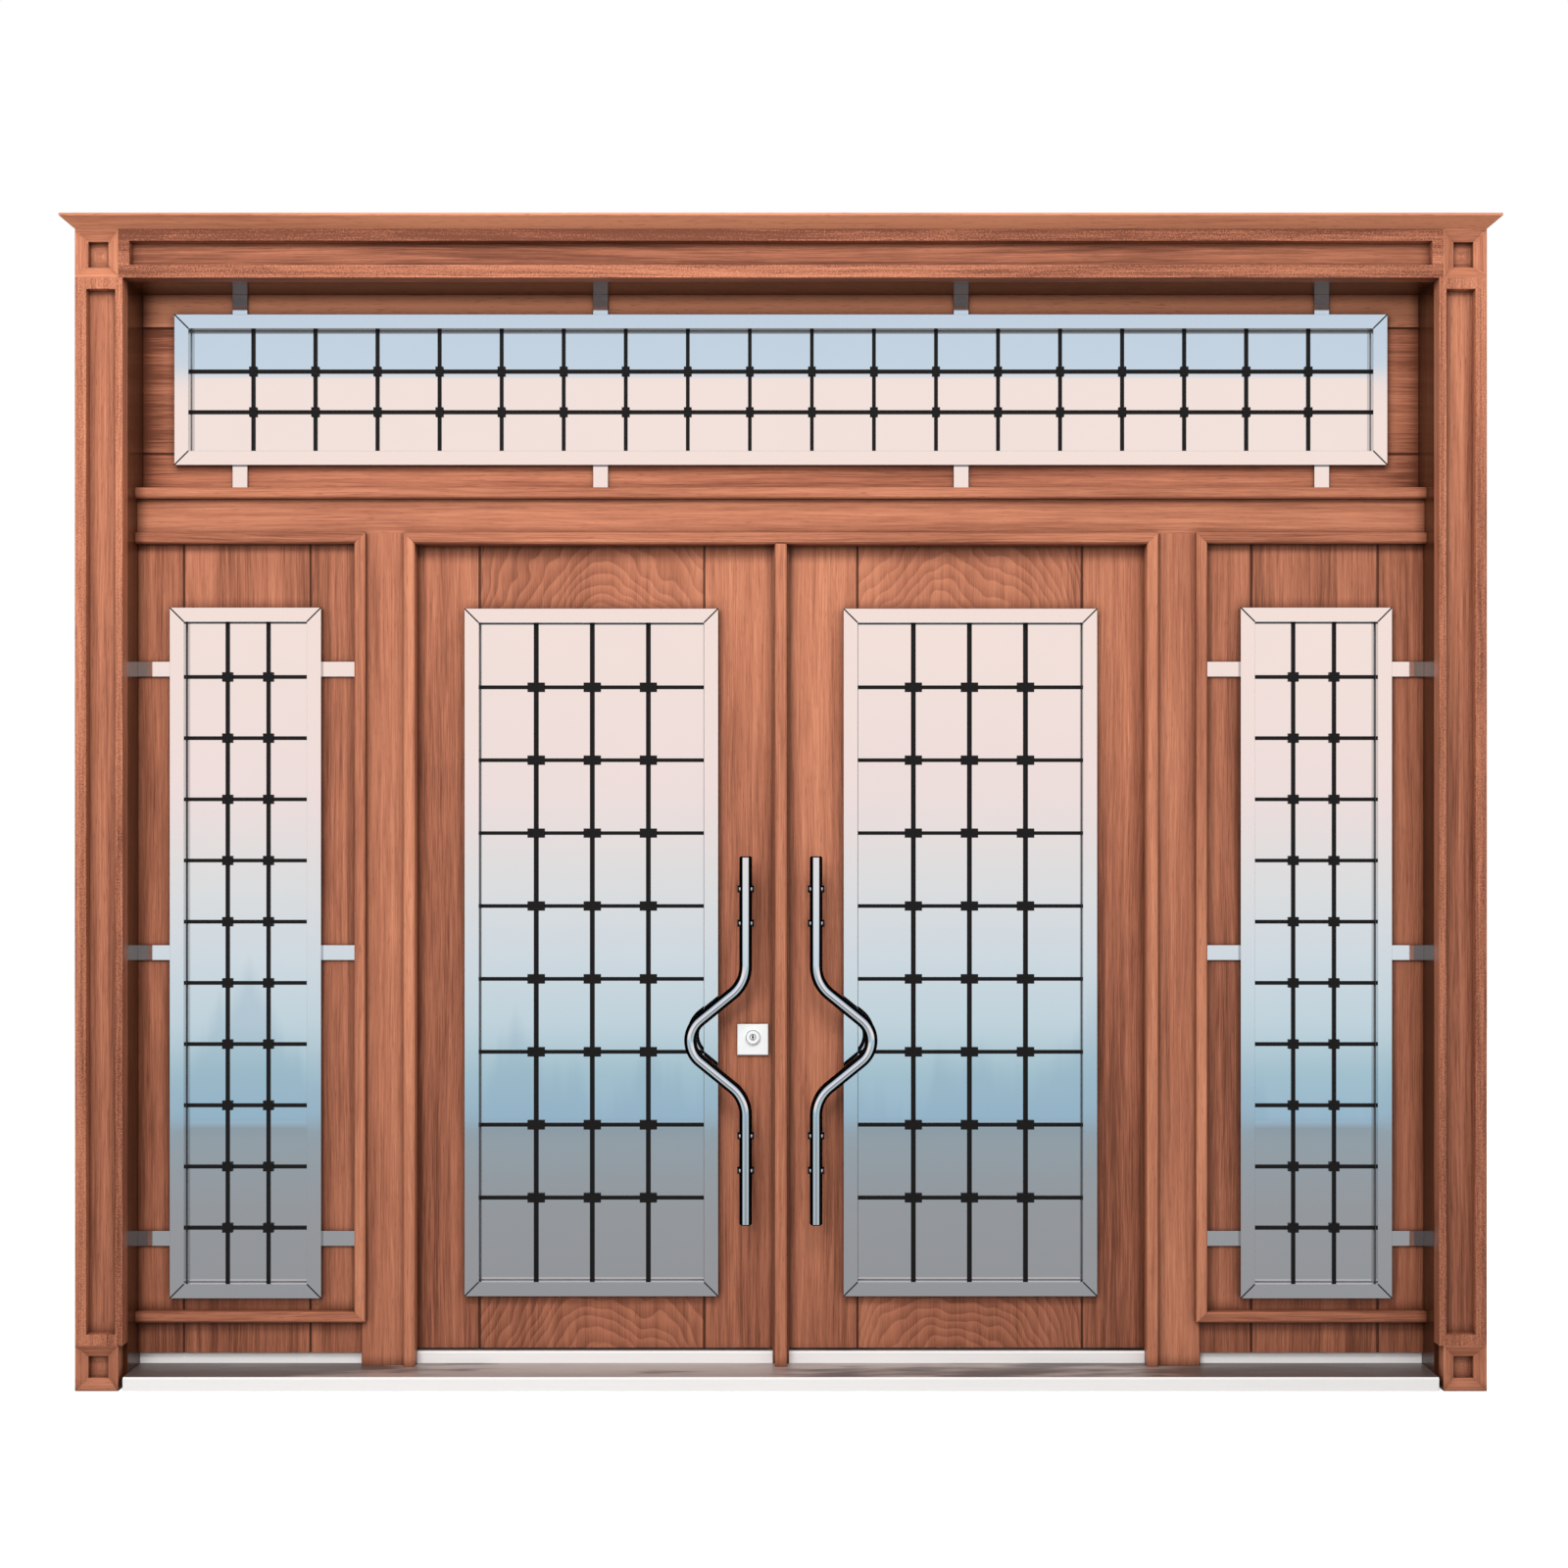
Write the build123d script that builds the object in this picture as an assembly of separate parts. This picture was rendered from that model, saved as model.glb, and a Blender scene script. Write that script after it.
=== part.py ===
from build123d import *
import os
from math import cos, radians, tan

# Entrance door set of steel with a wood-grain finish: a pair of leaves between two sidelights, under a
# transom light, in a cased frame. Millimetres. +X runs to the right seen from outside, +Y into the house,
# +Z up. The origin is on the underside of the threshold, midway, under the outer face of the mullions.

# Casing on the outside wall
CASING_WIDTH = 3530
CASING_FACE = 119
CASING_THICK = 40
CASING_REVEAL = 115  # from the casing's front back to the outer face of the mullions
HEAD_CASING_FACE = 122
BLOCK_WIDTH = 108
PLINTH_HEIGHT = 113
TRAY_BORDER = 3
TRAY_SLOPE = 26
TRAY_DEPTH = 14
TRAY_SINK = 16
PILASTER_INNER_BORDER = 18
PILASTER_OUTER_BORDER = 28
HEAD_LOWER_BORDER = 32
HEAD_UPPER_BORDER = 30
PANEL_END = 28
PANEL_SLOPE = 3
PANEL_DEPTH = 20
CORNICE_RISE = 25
CORNICE_LIP = 6
CORNICE_OUT = 30

# Frame in the wall opening
OPENING_HEIGHT = 2784
JAMB_THICK = 60
JAMB_DEPTH = 125  # behind the outer face of the mullions
MEMBER_DEPTH = 103
MULLION_WIDTH = 110
DOORWAY_WIDTH = 1926
RAIL_BOTTOM = 2162
RAIL_HEIGHT = 115
EDGE_CHAMFER = 4
THRESHOLD_DEPTH = 230
THRESHOLD_TOP = 34
STEP_TOP = 64
STEP_SETBACK = 22
ANCHOR_RADIUS = 5.5
ANCHOR_LOW = 500
ANCHOR_SPACING = 1400
ANCHOR_INSET = 15

# Mouldings laid on the frame
BEAD_PROUD = 17
BEAD_FACE = 28
BEAD_LAP = 13
BEAD_BOTTOM = 146
DOOR_MOULDING_FACE = 29
MITRE_GAP = 0.4
POST_FACE = 30
POST_FLANGE_WIDTH = 42
POST_FLANGE_THICK = 10

# Leaves
LEAF_SETBACK = 33
LEAF_THICK = 70
LEAF_EDGE_GAP = 8
LEAF_SILL_GAP = 6
STOP_GAP = 5
MEETING_GAP = 12
MEETING_STILE = 155
HINGE_STILE = 144
LEAF_BOTTOM_RAIL = 137.5
LEAF_TOP_RAIL = 183.5

# Fixed panels
SIDELIGHT_SETBACK = 10
SIDELIGHT_THICK = 60
SIDELIGHT_INNER_STILE = 101
TRANSOM_SETBACK = 49
TRANSOM_THICK = 45
TRANSOM_BOTTOM_RAIL = 65
TRANSOM_TOP_RAIL = 55
OUTER_STILE = 86  # beside the jambs, in the sidelights and the transom

# Board joints, which run on from the glass frames
JOINT_WIDTH = 6
JOINT_DEPTH = 3
JOINT_INSET = 31
LEAF_JOINT_INSET = 36

# Glazing, the same section in every panel
FRAME_FACE = 36
FRAME_PROUD = 20
FRAME_BACK_PROUD = 8
FRAME_LIP = 12
GLASS_SETBACK = 8
GLASS_THICK = 24
GLASS_EDGE_GAP = 4

# Grilles in front of the glass
BAR_WIDTH = 9.5
LEAF_UPRIGHT_BAR_WIDTH = 12
BAR_DEPTH = 4
BAR_GLASS_GAP = 0.5
CLAMP_PROUD = 2
CLAMP_HEIGHT = 24
LEAF_CLAMP_WIDTH = 44
LEAF_COLUMNS = 3
LEAF_ROWS = 8
LEAF_ROW_LIFT = 24
SIDELIGHT_CLAMP_WIDTH = 26
SIDELIGHT_COLUMNS = 2
SIDELIGHT_ROWS = 10
SIDELIGHT_END_FIELD = 139  # from the glass frame to the first cross bar
TRANSOM_CLAMP_WIDTH = 20
TRANSOM_COLUMNS = 18
TRANSOM_ROWS = 2

# Straps on the panels, from the glass frames to the door frame
STRAP_WIDTH = 38
STRAP_THICK = 6
SIDELIGHT_STRAP_FOOT = 150  # from the glass frame's lower end to the first strap
SIDELIGHT_STRAP_HEAD = 156
TRANSOM_STRAPS = 4
TRANSOM_STRAP_END = 165

# Pull handles
HANDLE_RADIUS = 16
HANDLE_INSET = 83.5  # from the leaf's meeting edge
HANDLE_STANDOFF = 65  # from the leaf's face to the bar's axis
HANDLE_BOTTOM = 399
HANDLE_TOP = 1336
HANDLE_ELBOW_REACH = 179.5
HANDLE_ELBOW_HALF = 146
HANDLE_ELBOW_BEND = 67
HANDLE_SHOULDER_BEND = 90
HANDLE_END_ROUND = 3
STANDOFF_RADIUS = 9
STANDOFF_CROSS_LENGTH = 42
STANDOFFS_ABOVE_BOTTOM = (139, 227)
STANDOFFS_BELOW_TOP = (170, 83)

# Lock
LOCK_INSET = 66
LOCK_Z = 864
LOCK_PLATE = 80
LOCK_PLATE_THICK = 8
CYLINDER_RADIUS = 19
CYLINDER_PROUD = 6
CYLINDER_LIFT = 7
KEYHOLE_RADIUS = 3
KEYHOLE_DROP = 8
KEYHOLE_DEPTH = 4
LEVER_PLATE_WIDTH = 54
LEVER_PLATE_HEIGHT = 240
LEVER_NECK_RADIUS = 10
LEVER_NECK_LENGTH = 45
LEVER_LENGTH = 130
LEVER_WIDTH = 20
LEVER_THICK = 14

# Hinges on the room side
HINGE_COUNT = 4
HINGE_END = 230
HINGE_HEIGHT = 120
KNUCKLE_RADIUS = 9
KNUCKLE_BACK_GAP = 1
KNUCKLE_END_GAP = 0.5
PIN_RADIUS = 5
PIN_CLEARANCE = 0.1
HINGE_PLATE_LENGTH = 50
HINGE_PLATE_THICK = 4

# Planes and edges that the pieces share
OPENING_HALF = CASING_WIDTH / 2 - CASING_FACE
CASING_TOP = OPENING_HEIGHT + HEAD_CASING_FACE
CASING_FRONT = -CASING_REVEAL
WALL_FACE = CASING_FRONT + CASING_THICK
DOORWAY_HALF = DOORWAY_WIDTH / 2
MULLION_OUTER = DOORWAY_HALF + MULLION_WIDTH
RAIL_TOP = RAIL_BOTTOM + RAIL_HEIGHT
LEAF_BACK = LEAF_SETBACK + LEAF_THICK
LEAF_BOTTOM = STEP_TOP + LEAF_SILL_GAP
LEAF_TOP = RAIL_BOTTOM - LEAF_EDGE_GAP
LEAF_HINGE_EDGE = DOORWAY_HALF - LEAF_EDGE_GAP
LEAF_MEETING_EDGE = MEETING_GAP / 2
LEAF_GLASS = (LEAF_MEETING_EDGE + MEETING_STILE, LEAF_HINGE_EDGE - HINGE_STILE)
SIDELIGHT_GLASS = (MULLION_OUTER + SIDELIGHT_INNER_STILE, OPENING_HALF - OUTER_STILE)
GLASS_HEIGHTS = (LEAF_BOTTOM + LEAF_BOTTOM_RAIL, LEAF_TOP - LEAF_TOP_RAIL)
TRANSOM_GLASS = (OUTER_STILE - OPENING_HALF, OPENING_HALF - OUTER_STILE)
TRANSOM_GLASS_HEIGHTS = (RAIL_TOP + TRANSOM_BOTTOM_RAIL, OPENING_HEIGHT - TRANSOM_TOP_RAIL)
HANDLE_X = LEAF_MEETING_EDGE + HANDLE_INSET
LOCK_X = LEAF_MEETING_EDGE + LOCK_INSET
PIVOT_X = DOORWAY_HALF - LEAF_EDGE_GAP / 2
PIVOT_Y = LEAF_BACK + KNUCKLE_BACK_GAP + KNUCKLE_RADIUS
LEFT = -1
RIGHT = 1


def middle(span):
    return (span[0] + span[1]) / 2


def length(span):
    return max(span) - min(span)


def block(x, y, z):
    """A box between two limits along each axis."""
    spans = (x, y, z)
    return Pos(*map(middle, spans)) * Box(*map(length, spans))


def plan_prism(points, bottom, top):
    """An upright prism on an outline of (x, y) points."""
    outline = make_face(Polyline(*points, close=True))
    return Pos(0, 0, bottom) * extrude(outline, top - bottom)


def long_prism(points, x):
    """A bar along X whose section is an outline of (y, z) points."""
    outline = Plane.YZ * make_face(Polyline(*points, close=True))
    return Pos(min(x), 0, 0) * extrude(outline, max(x) - min(x))


def sloped_pocket(width, height, slope, depth):
    """A pocket that opens on the plane Y = 0, with sides that slope in to a flat floor at Y = depth."""
    floor = (slope, slope, width - slope, height - slope)
    return Wedge(width, depth, height, *floor, align=(Align.CENTER, Align.MIN, Align.CENTER))


def mitred_length(length, face, section):
    """A bar along X with mitred ends: its outer edge lies on Z = 0 and its section, in (y, z), grows up."""
    half = length / 2 - MITRE_GAP
    bar = long_prism(section, (-half, half))
    outline = [(-half, 0), (half, 0), (half - face, face), (face - half, face)]
    reach = 2 * max(abs(y) for y, z in section)
    mitres = extrude(Plane.XZ * make_face(Polyline(*outline, close=True)), reach, both=True)
    return bar & mitres


def mitred_ring(width, height, face, section):
    """Four mitred bars round a rectangle that is centred on the origin."""
    across = mitred_length(width, face, section)
    upright = mitred_length(height, face, section)
    return [
        Pos(0, 0, -height / 2) * across,
        Pos(0, 0, height / 2) * Rot(0, 180, 0) * across,
        Pos(-width / 2, 0, 0) * Rot(0, 90, 0) * upright,
        Pos(width / 2, 0, 0) * Rot(0, -90, 0) * upright,
    ]


def evenly(low, high, count):
    """Evenly spaced places from one limit to the other."""
    return [low + (high - low) * k / (count - 1) for k in range(count)]


def split(half, count):
    """Places that split a span, centred on zero, into equal fields."""
    return evenly(-half, half, count + 2)[1:-1]


def mirrored(shapes):
    return [mirror(shape, about=Plane.YZ) for shape in shapes]


def save(name, *shapes):
    solids = [solid for shape in shapes for solid in shape.solids()]
    export_step(solids[0] if len(solids) == 1 else Compound(solids), f"parts/{name}.step")


def save_pair(name, *shapes):
    """The shapes of the right-hand side, and their mirror image on the left."""
    save(f"right_{name}", *shapes)
    save(f"left_{name}", *mirrored(shapes))


def tray_block(bottom, top):
    """A casing block: its face dips like a tray to a small square sinking."""
    outer = CASING_WIDTH / 2
    x = (outer - BLOCK_WIDTH, outer)
    body = block(x, (CASING_FRONT, WALL_FACE), (bottom, top))
    tray_width = BLOCK_WIDTH - 2 * TRAY_BORDER
    tray_height = top - bottom - 2 * TRAY_BORDER
    tray = sloped_pocket(tray_width, tray_height, TRAY_SLOPE, TRAY_DEPTH)
    sink = block(
        (TRAY_SLOPE - tray_width / 2, tray_width / 2 - TRAY_SLOPE),
        (0, TRAY_DEPTH + TRAY_SINK),
        (TRAY_SLOPE - tray_height / 2, tray_height / 2 - TRAY_SLOPE),
    )
    centre = Pos(middle(x), CASING_FRONT, middle((bottom, top)))
    return body - centre * tray - centre * sink


def casing_board(x, z, panel_x, panel_z):
    """A flat casing board with one long sunk panel."""
    body = block(x, (CASING_FRONT, WALL_FACE), z)
    pocket = sloped_pocket(length(panel_x), length(panel_z), PANEL_SLOPE, PANEL_DEPTH)
    return body - Pos(middle(panel_x), CASING_FRONT, middle(panel_z)) * pocket


def cornice():
    """A crown that flares out to the front and both sides, under a thin square lip."""
    wide = CASING_WIDTH + 2 * CORNICE_OUT
    front = CASING_FRONT - CORNICE_OUT
    flare_top = CASING_TOP + CORNICE_RISE
    foot = Pos(0, (CASING_FRONT + WALL_FACE) / 2, CASING_TOP) * Rectangle(CASING_WIDTH, CASING_THICK)
    crown = Pos(0, (front + WALL_FACE) / 2, flare_top) * Rectangle(wide, CASING_THICK + CORNICE_OUT)
    lip = block((-wide / 2, wide / 2), (front, WALL_FACE), (flare_top, flare_top + CORNICE_LIP))
    return loft([foot, crown], ruled=True) + lip


def casing():
    outer = CASING_WIDTH / 2
    save_pair("plinth_block", tray_block(0, PLINTH_HEIGHT))
    save_pair("corner_block", tray_block(OPENING_HEIGHT, CASING_TOP))
    panel_x = (OPENING_HALF + PILASTER_INNER_BORDER, outer - PILASTER_OUTER_BORDER)
    panel_z = (PLINTH_HEIGHT + PANEL_END, OPENING_HEIGHT - PANEL_END)
    upright = (PLINTH_HEIGHT, OPENING_HEIGHT)
    save_pair("pilaster", casing_board((OPENING_HALF, outer), upright, panel_x, panel_z))
    end = outer - BLOCK_WIDTH
    panel_x = (PANEL_END - end, end - PANEL_END)
    panel_z = (OPENING_HEIGHT + HEAD_LOWER_BORDER, CASING_TOP - HEAD_UPPER_BORDER)
    save("head_casing", casing_board((-end, end), (OPENING_HEIGHT, CASING_TOP), panel_x, panel_z))
    save("cornice", cornice())


def threshold():
    """Pressed sill with a low tread outside and a raised step under the leaves and panels."""
    front = -THRESHOLD_DEPTH / 2
    back = THRESHOLD_DEPTH / 2
    profile = [
        (front, 0),
        (back, 0),
        (back, STEP_TOP),
        (STEP_SETBACK + EDGE_CHAMFER, STEP_TOP),
        (STEP_SETBACK, STEP_TOP - EDGE_CHAMFER),
        (STEP_SETBACK, THRESHOLD_TOP),
        (front + EDGE_CHAMFER, THRESHOLD_TOP),
        (front, THRESHOLD_TOP - EDGE_CHAMFER),
    ]
    return long_prism(profile, (-OPENING_HALF, OPENING_HALF))


def jamb():
    body = block((OPENING_HALF, OPENING_HALF + JAMB_THICK), (WALL_FACE, JAMB_DEPTH), (0, OPENING_HEIGHT))
    for height in (ANCHOR_LOW, ANCHOR_LOW + ANCHOR_SPACING):
        place = Pos(OPENING_HALF + JAMB_THICK / 2, JAMB_DEPTH - ANCHOR_INSET, height)
        body -= place * Rot(0, 90, 0) * Cylinder(ANCHOR_RADIUS, JAMB_THICK)
    return body


def mullion():
    """Post with a chamfered outer edge, cut to stand on the threshold's tread and step."""
    plan = [
        (DOORWAY_HALF, 0),
        (MULLION_OUTER - EDGE_CHAMFER, 0),
        (MULLION_OUTER, EDGE_CHAMFER),
        (MULLION_OUTER, MEMBER_DEPTH),
        (DOORWAY_HALF, MEMBER_DEPTH),
    ]
    return plan_prism(plan, THRESHOLD_TOP, RAIL_BOTTOM) - threshold()


def moulding_section(face, back):
    """A flat moulding's section in (y, z), with both front edges chamfered."""
    return [
        (back, 0),
        (EDGE_CHAMFER - BEAD_PROUD, 0),
        (-BEAD_PROUD, EDGE_CHAMFER),
        (-BEAD_PROUD, face - EDGE_CHAMFER),
        (EDGE_CHAMFER - BEAD_PROUD, face),
        (back, face),
    ]


def upright_moulding(x, back, z):
    """A moulding that stands between two heights."""
    plan = [(min(x) + u, y) for y, u in moulding_section(max(x) - min(x), back)]
    return plan_prism(plan, *z)


def frame():
    save_pair("jamb", jamb())
    head_half = OPENING_HALF + JAMB_THICK
    head_z = (OPENING_HEIGHT, OPENING_HEIGHT + JAMB_THICK)
    save("head_jamb", block((-head_half, head_half), (WALL_FACE, JAMB_DEPTH), head_z))
    save("threshold", threshold())
    save_pair("mullion", mullion())
    width = (-OPENING_HALF, OPENING_HALF)
    save("transom_rail", block(width, (0, MEMBER_DEPTH), (RAIL_BOTTOM, RAIL_TOP)))
    bead = long_prism(moulding_section(BEAD_FACE, 0), width)
    save("transom_bead", Pos(0, 0, RAIL_TOP - BEAD_FACE) * bead)


def mitred(bar, outline):
    """A moulding cut to an outline of (x, z) points that has its mitres."""
    reach = BEAD_PROUD + LEAF_SETBACK
    return bar & extrude(Plane.XZ * make_face(Polyline(*outline, close=True)), reach, both=True)


def door_moulding():
    """The stop moulding round the doorway: two legs and a head that the leaves close against."""
    inner = DOORWAY_HALF - DOOR_MOULDING_FACE
    back = LEAF_SETBACK - STOP_GAP
    top = RAIL_BOTTOM
    under = RAIL_BOTTOM - DOOR_MOULDING_FACE
    leg_outline = [
        (inner, 0),
        (DOORWAY_HALF, 0),
        (DOORWAY_HALF, top - MITRE_GAP),
        (inner, under - MITRE_GAP),
    ]
    leg = upright_moulding((inner, DOORWAY_HALF), back, (THRESHOLD_TOP, top))
    leg = mitred(leg, leg_outline) - threshold()
    head = Pos(0, 0, under) * long_prism(
        moulding_section(DOOR_MOULDING_FACE, back), (-DOORWAY_HALF, DOORWAY_HALF)
    )
    head_outline = [(-DOORWAY_HALF, top), (DOORWAY_HALF, top), (inner, under), (-inner, under)]
    return [leg, *mirrored([leg]), mitred(head, head_outline)]


def sidelight_bead():
    """The bead on three sides of a sidelight: along the mullion, under the rail and low on the panel."""
    inner = MULLION_OUTER - BEAD_LAP
    outer = inner + BEAD_FACE
    top = RAIL_BOTTOM
    post = block((0, MULLION_OUTER), (0, MEMBER_DEPTH), (0, RAIL_TOP))
    stile = upright_moulding((inner, outer), SIDELIGHT_SETBACK, (BEAD_BOTTOM, top))
    stile_outline = [
        (inner, BEAD_BOTTOM + MITRE_GAP),
        (outer, BEAD_BOTTOM + BEAD_FACE + MITRE_GAP),
        (outer, top - BEAD_FACE - MITRE_GAP),
        (inner, top - MITRE_GAP),
    ]
    across = long_prism(moulding_section(BEAD_FACE, SIDELIGHT_SETBACK), (inner, OPENING_HALF))
    head = Pos(0, 0, top - BEAD_FACE) * across
    head_outline = [
        (inner, top),
        (OPENING_HALF, top),
        (OPENING_HALF, top - BEAD_FACE),
        (outer, top - BEAD_FACE),
    ]
    foot = Pos(0, 0, BEAD_BOTTOM) * across
    foot_outline = [
        (inner, BEAD_BOTTOM),
        (OPENING_HALF, BEAD_BOTTOM),
        (OPENING_HALF, BEAD_BOTTOM + BEAD_FACE),
        (outer, BEAD_BOTTOM + BEAD_FACE),
    ]
    lengths = ((stile, stile_outline), (head, head_outline), (foot, foot_outline))
    return [mitred(bar, outline) - post for bar, outline in lengths]


def centre_post():
    """A fixed post between the leaves: a moulded strip on a wider flange that they close on."""
    back = LEAF_SETBACK - STOP_GAP
    half = POST_FLANGE_WIDTH / 2
    top = RAIL_BOTTOM - DOOR_MOULDING_FACE
    strip = upright_moulding((-POST_FACE / 2, POST_FACE / 2), back, (THRESHOLD_TOP, top))
    flange = block((-half, half), (back - POST_FLANGE_THICK, back), (THRESHOLD_TOP, top))
    return strip + flange - threshold()


def mouldings():
    save("door_moulding", *door_moulding())
    save("centre_post", centre_post())
    save_pair("sidelight_bead", *sidelight_bead())


def frame_section(proud, depth):
    """A glass frame's section in (y, z): a flange on the panel and a lip that reaches in to the glass."""
    seat = FRAME_FACE - FRAME_LIP
    return [(-proud, 0), (-proud, FRAME_FACE), (depth, FRAME_FACE), (depth, seat), (0, seat), (0, 0)]


def glass_frame(width, height, thick):
    """Mitred frames on both faces of a panel whose outer face is at Y = 0, with the pane between them."""
    outside = mitred_ring(width, height, FRAME_FACE, frame_section(FRAME_PROUD, GLASS_SETBACK))
    back_depth = thick - GLASS_SETBACK - GLASS_THICK
    inside = mitred_ring(width, height, FRAME_FACE, frame_section(FRAME_BACK_PROUD, back_depth))
    return outside + [Pos(0, thick, 0) * Rot(0, 0, 180) * bar for bar in inside]


def daylight(size):
    """Half of the clear span inside a glass frame."""
    return size / 2 - FRAME_FACE


def cut_out(width, height, thick):
    """The hole in a panel for its glass, through the thickness."""
    half_width = daylight(width) + FRAME_LIP
    half_height = daylight(height) + FRAME_LIP
    return block((-half_width, half_width), (0, thick), (-half_height, half_height))


def pane(width, height):
    half_width = daylight(width) + FRAME_LIP - GLASS_EDGE_GAP
    half_height = daylight(height) + FRAME_LIP - GLASS_EDGE_GAP
    y = (GLASS_SETBACK, GLASS_SETBACK + GLASS_THICK)
    return block((-half_width, half_width), y, (-half_height, half_height))


def grille(width, height, columns, rows, clamp_width, upright_width=BAR_WIDTH):
    """A lattice of flat bars with a clamp on each crossing, ends seated on the glass frame's lips."""
    half_width = daylight(width)
    half_height = daylight(height)
    back = GLASS_SETBACK - BAR_GLASS_GAP
    y = (back - BAR_DEPTH, back)
    side = upright_width / 2
    bars = [block((x - side, x + side), y, (-half_height, half_height)) for x in columns]
    side = BAR_WIDTH / 2
    bars += [block((-half_width, half_width), y, (z - side, z + side)) for z in rows]
    clamp_y = (y[0] - CLAMP_PROUD, back)
    clamp = block((-clamp_width / 2, clamp_width / 2), clamp_y, (-CLAMP_HEIGHT / 2, CLAMP_HEIGHT / 2))
    clamps = [Pos(x, 0, z) * clamp for x in columns for z in rows]
    return bars[0].fuse(*bars[1:], *clamps)


def joint_grooves(thick, along_z, offset, start, end):
    """Board joints on both faces of a panel, either side of its middle."""
    grooves = []
    for place in (-offset, offset):
        across = (place - JOINT_WIDTH / 2, place + JOINT_WIDTH / 2)
        for y in ((0, JOINT_DEPTH), (thick - JOINT_DEPTH, thick)):
            limits = (across, y, (start, end)) if along_z else ((start, end), y, across)
            grooves.append(block(*limits))
    return grooves


def transom():
    width = length(TRANSOM_GLASS)
    height = length(TRANSOM_GLASS_HEIGHTS)
    place = Pos(middle(TRANSOM_GLASS), TRANSOM_SETBACK, middle(TRANSOM_GLASS_HEIGHTS))
    y = (TRANSOM_SETBACK, TRANSOM_SETBACK + TRANSOM_THICK)
    panel = block((-OPENING_HALF, OPENING_HALF), y, (RAIL_TOP, OPENING_HEIGHT))
    panel -= place * cut_out(width, height, TRANSOM_THICK)
    joint = height / 2 - JOINT_INSET
    for groove in joint_grooves(TRANSOM_THICK, False, joint, -OPENING_HALF, OPENING_HALF):
        panel -= place * groove
    columns = split(daylight(width), TRANSOM_COLUMNS)
    rows = split(daylight(height), TRANSOM_ROWS)
    save("transom_panel", panel)
    save("transom_glass", place * pane(width, height))
    bars = [place * bar for bar in glass_frame(width, height, TRANSOM_THICK)]
    save("transom_glass_frame", *bars)
    save("transom_grille", place * grille(width, height, columns, rows, TRANSOM_CLAMP_WIDTH))

    straps = []
    frame_bottom, frame_top = TRANSOM_GLASS_HEIGHTS
    on_panel = (TRANSOM_SETBACK - STRAP_THICK, TRANSOM_SETBACK)
    end = width / 2 - TRANSOM_STRAP_END
    for offset in evenly(-end, end, TRANSOM_STRAPS):
        x = (offset - STRAP_WIDTH / 2, offset + STRAP_WIDTH / 2)
        straps += [block(x, on_panel, z) for z in ((frame_top, OPENING_HEIGHT), (RAIL_TOP, frame_bottom))]
    save("transom_straps", *straps)


def sidelight():
    width = length(SIDELIGHT_GLASS)
    height = length(GLASS_HEIGHTS)
    centre_z = middle(GLASS_HEIGHTS)
    place = Pos(middle(SIDELIGHT_GLASS), SIDELIGHT_SETBACK, centre_z)
    y = (SIDELIGHT_SETBACK, SIDELIGHT_SETBACK + SIDELIGHT_THICK)
    panel = block((MULLION_OUTER, OPENING_HALF), y, (STEP_TOP, RAIL_BOTTOM))
    panel -= place * cut_out(width, height, SIDELIGHT_THICK)
    joint = width / 2 - JOINT_INSET
    for groove in joint_grooves(SIDELIGHT_THICK, True, joint, STEP_TOP - centre_z, RAIL_BOTTOM - centre_z):
        panel -= place * groove
    columns = split(daylight(width), SIDELIGHT_COLUMNS)
    last_row = daylight(height) - SIDELIGHT_END_FIELD
    rows = evenly(-last_row, last_row, SIDELIGHT_ROWS)
    save_pair("sidelight_panel", panel)
    save_pair("sidelight_glass", place * pane(width, height))
    bars = [place * bar for bar in glass_frame(width, height, SIDELIGHT_THICK)]
    save_pair("sidelight_glass_frame", *bars)
    save_pair("sidelight_grille", place * grille(width, height, columns, rows, SIDELIGHT_CLAMP_WIDTH))

    straps = []
    on_panel = (SIDELIGHT_SETBACK - STRAP_THICK, SIDELIGHT_SETBACK)
    bead_outer = MULLION_OUTER - BEAD_LAP + BEAD_FACE
    frame_inner, frame_outer = SIDELIGHT_GLASS
    frame_bottom, frame_top = GLASS_HEIGHTS
    for height_at in (frame_bottom + SIDELIGHT_STRAP_FOOT, centre_z, frame_top - SIDELIGHT_STRAP_HEAD):
        z = (height_at - STRAP_WIDTH / 2, height_at + STRAP_WIDTH / 2)
        straps += [block(x, on_panel, z) for x in ((frame_outer, OPENING_HALF), (bead_outer, frame_inner))]
    save_pair("sidelight_straps", *straps)


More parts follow.
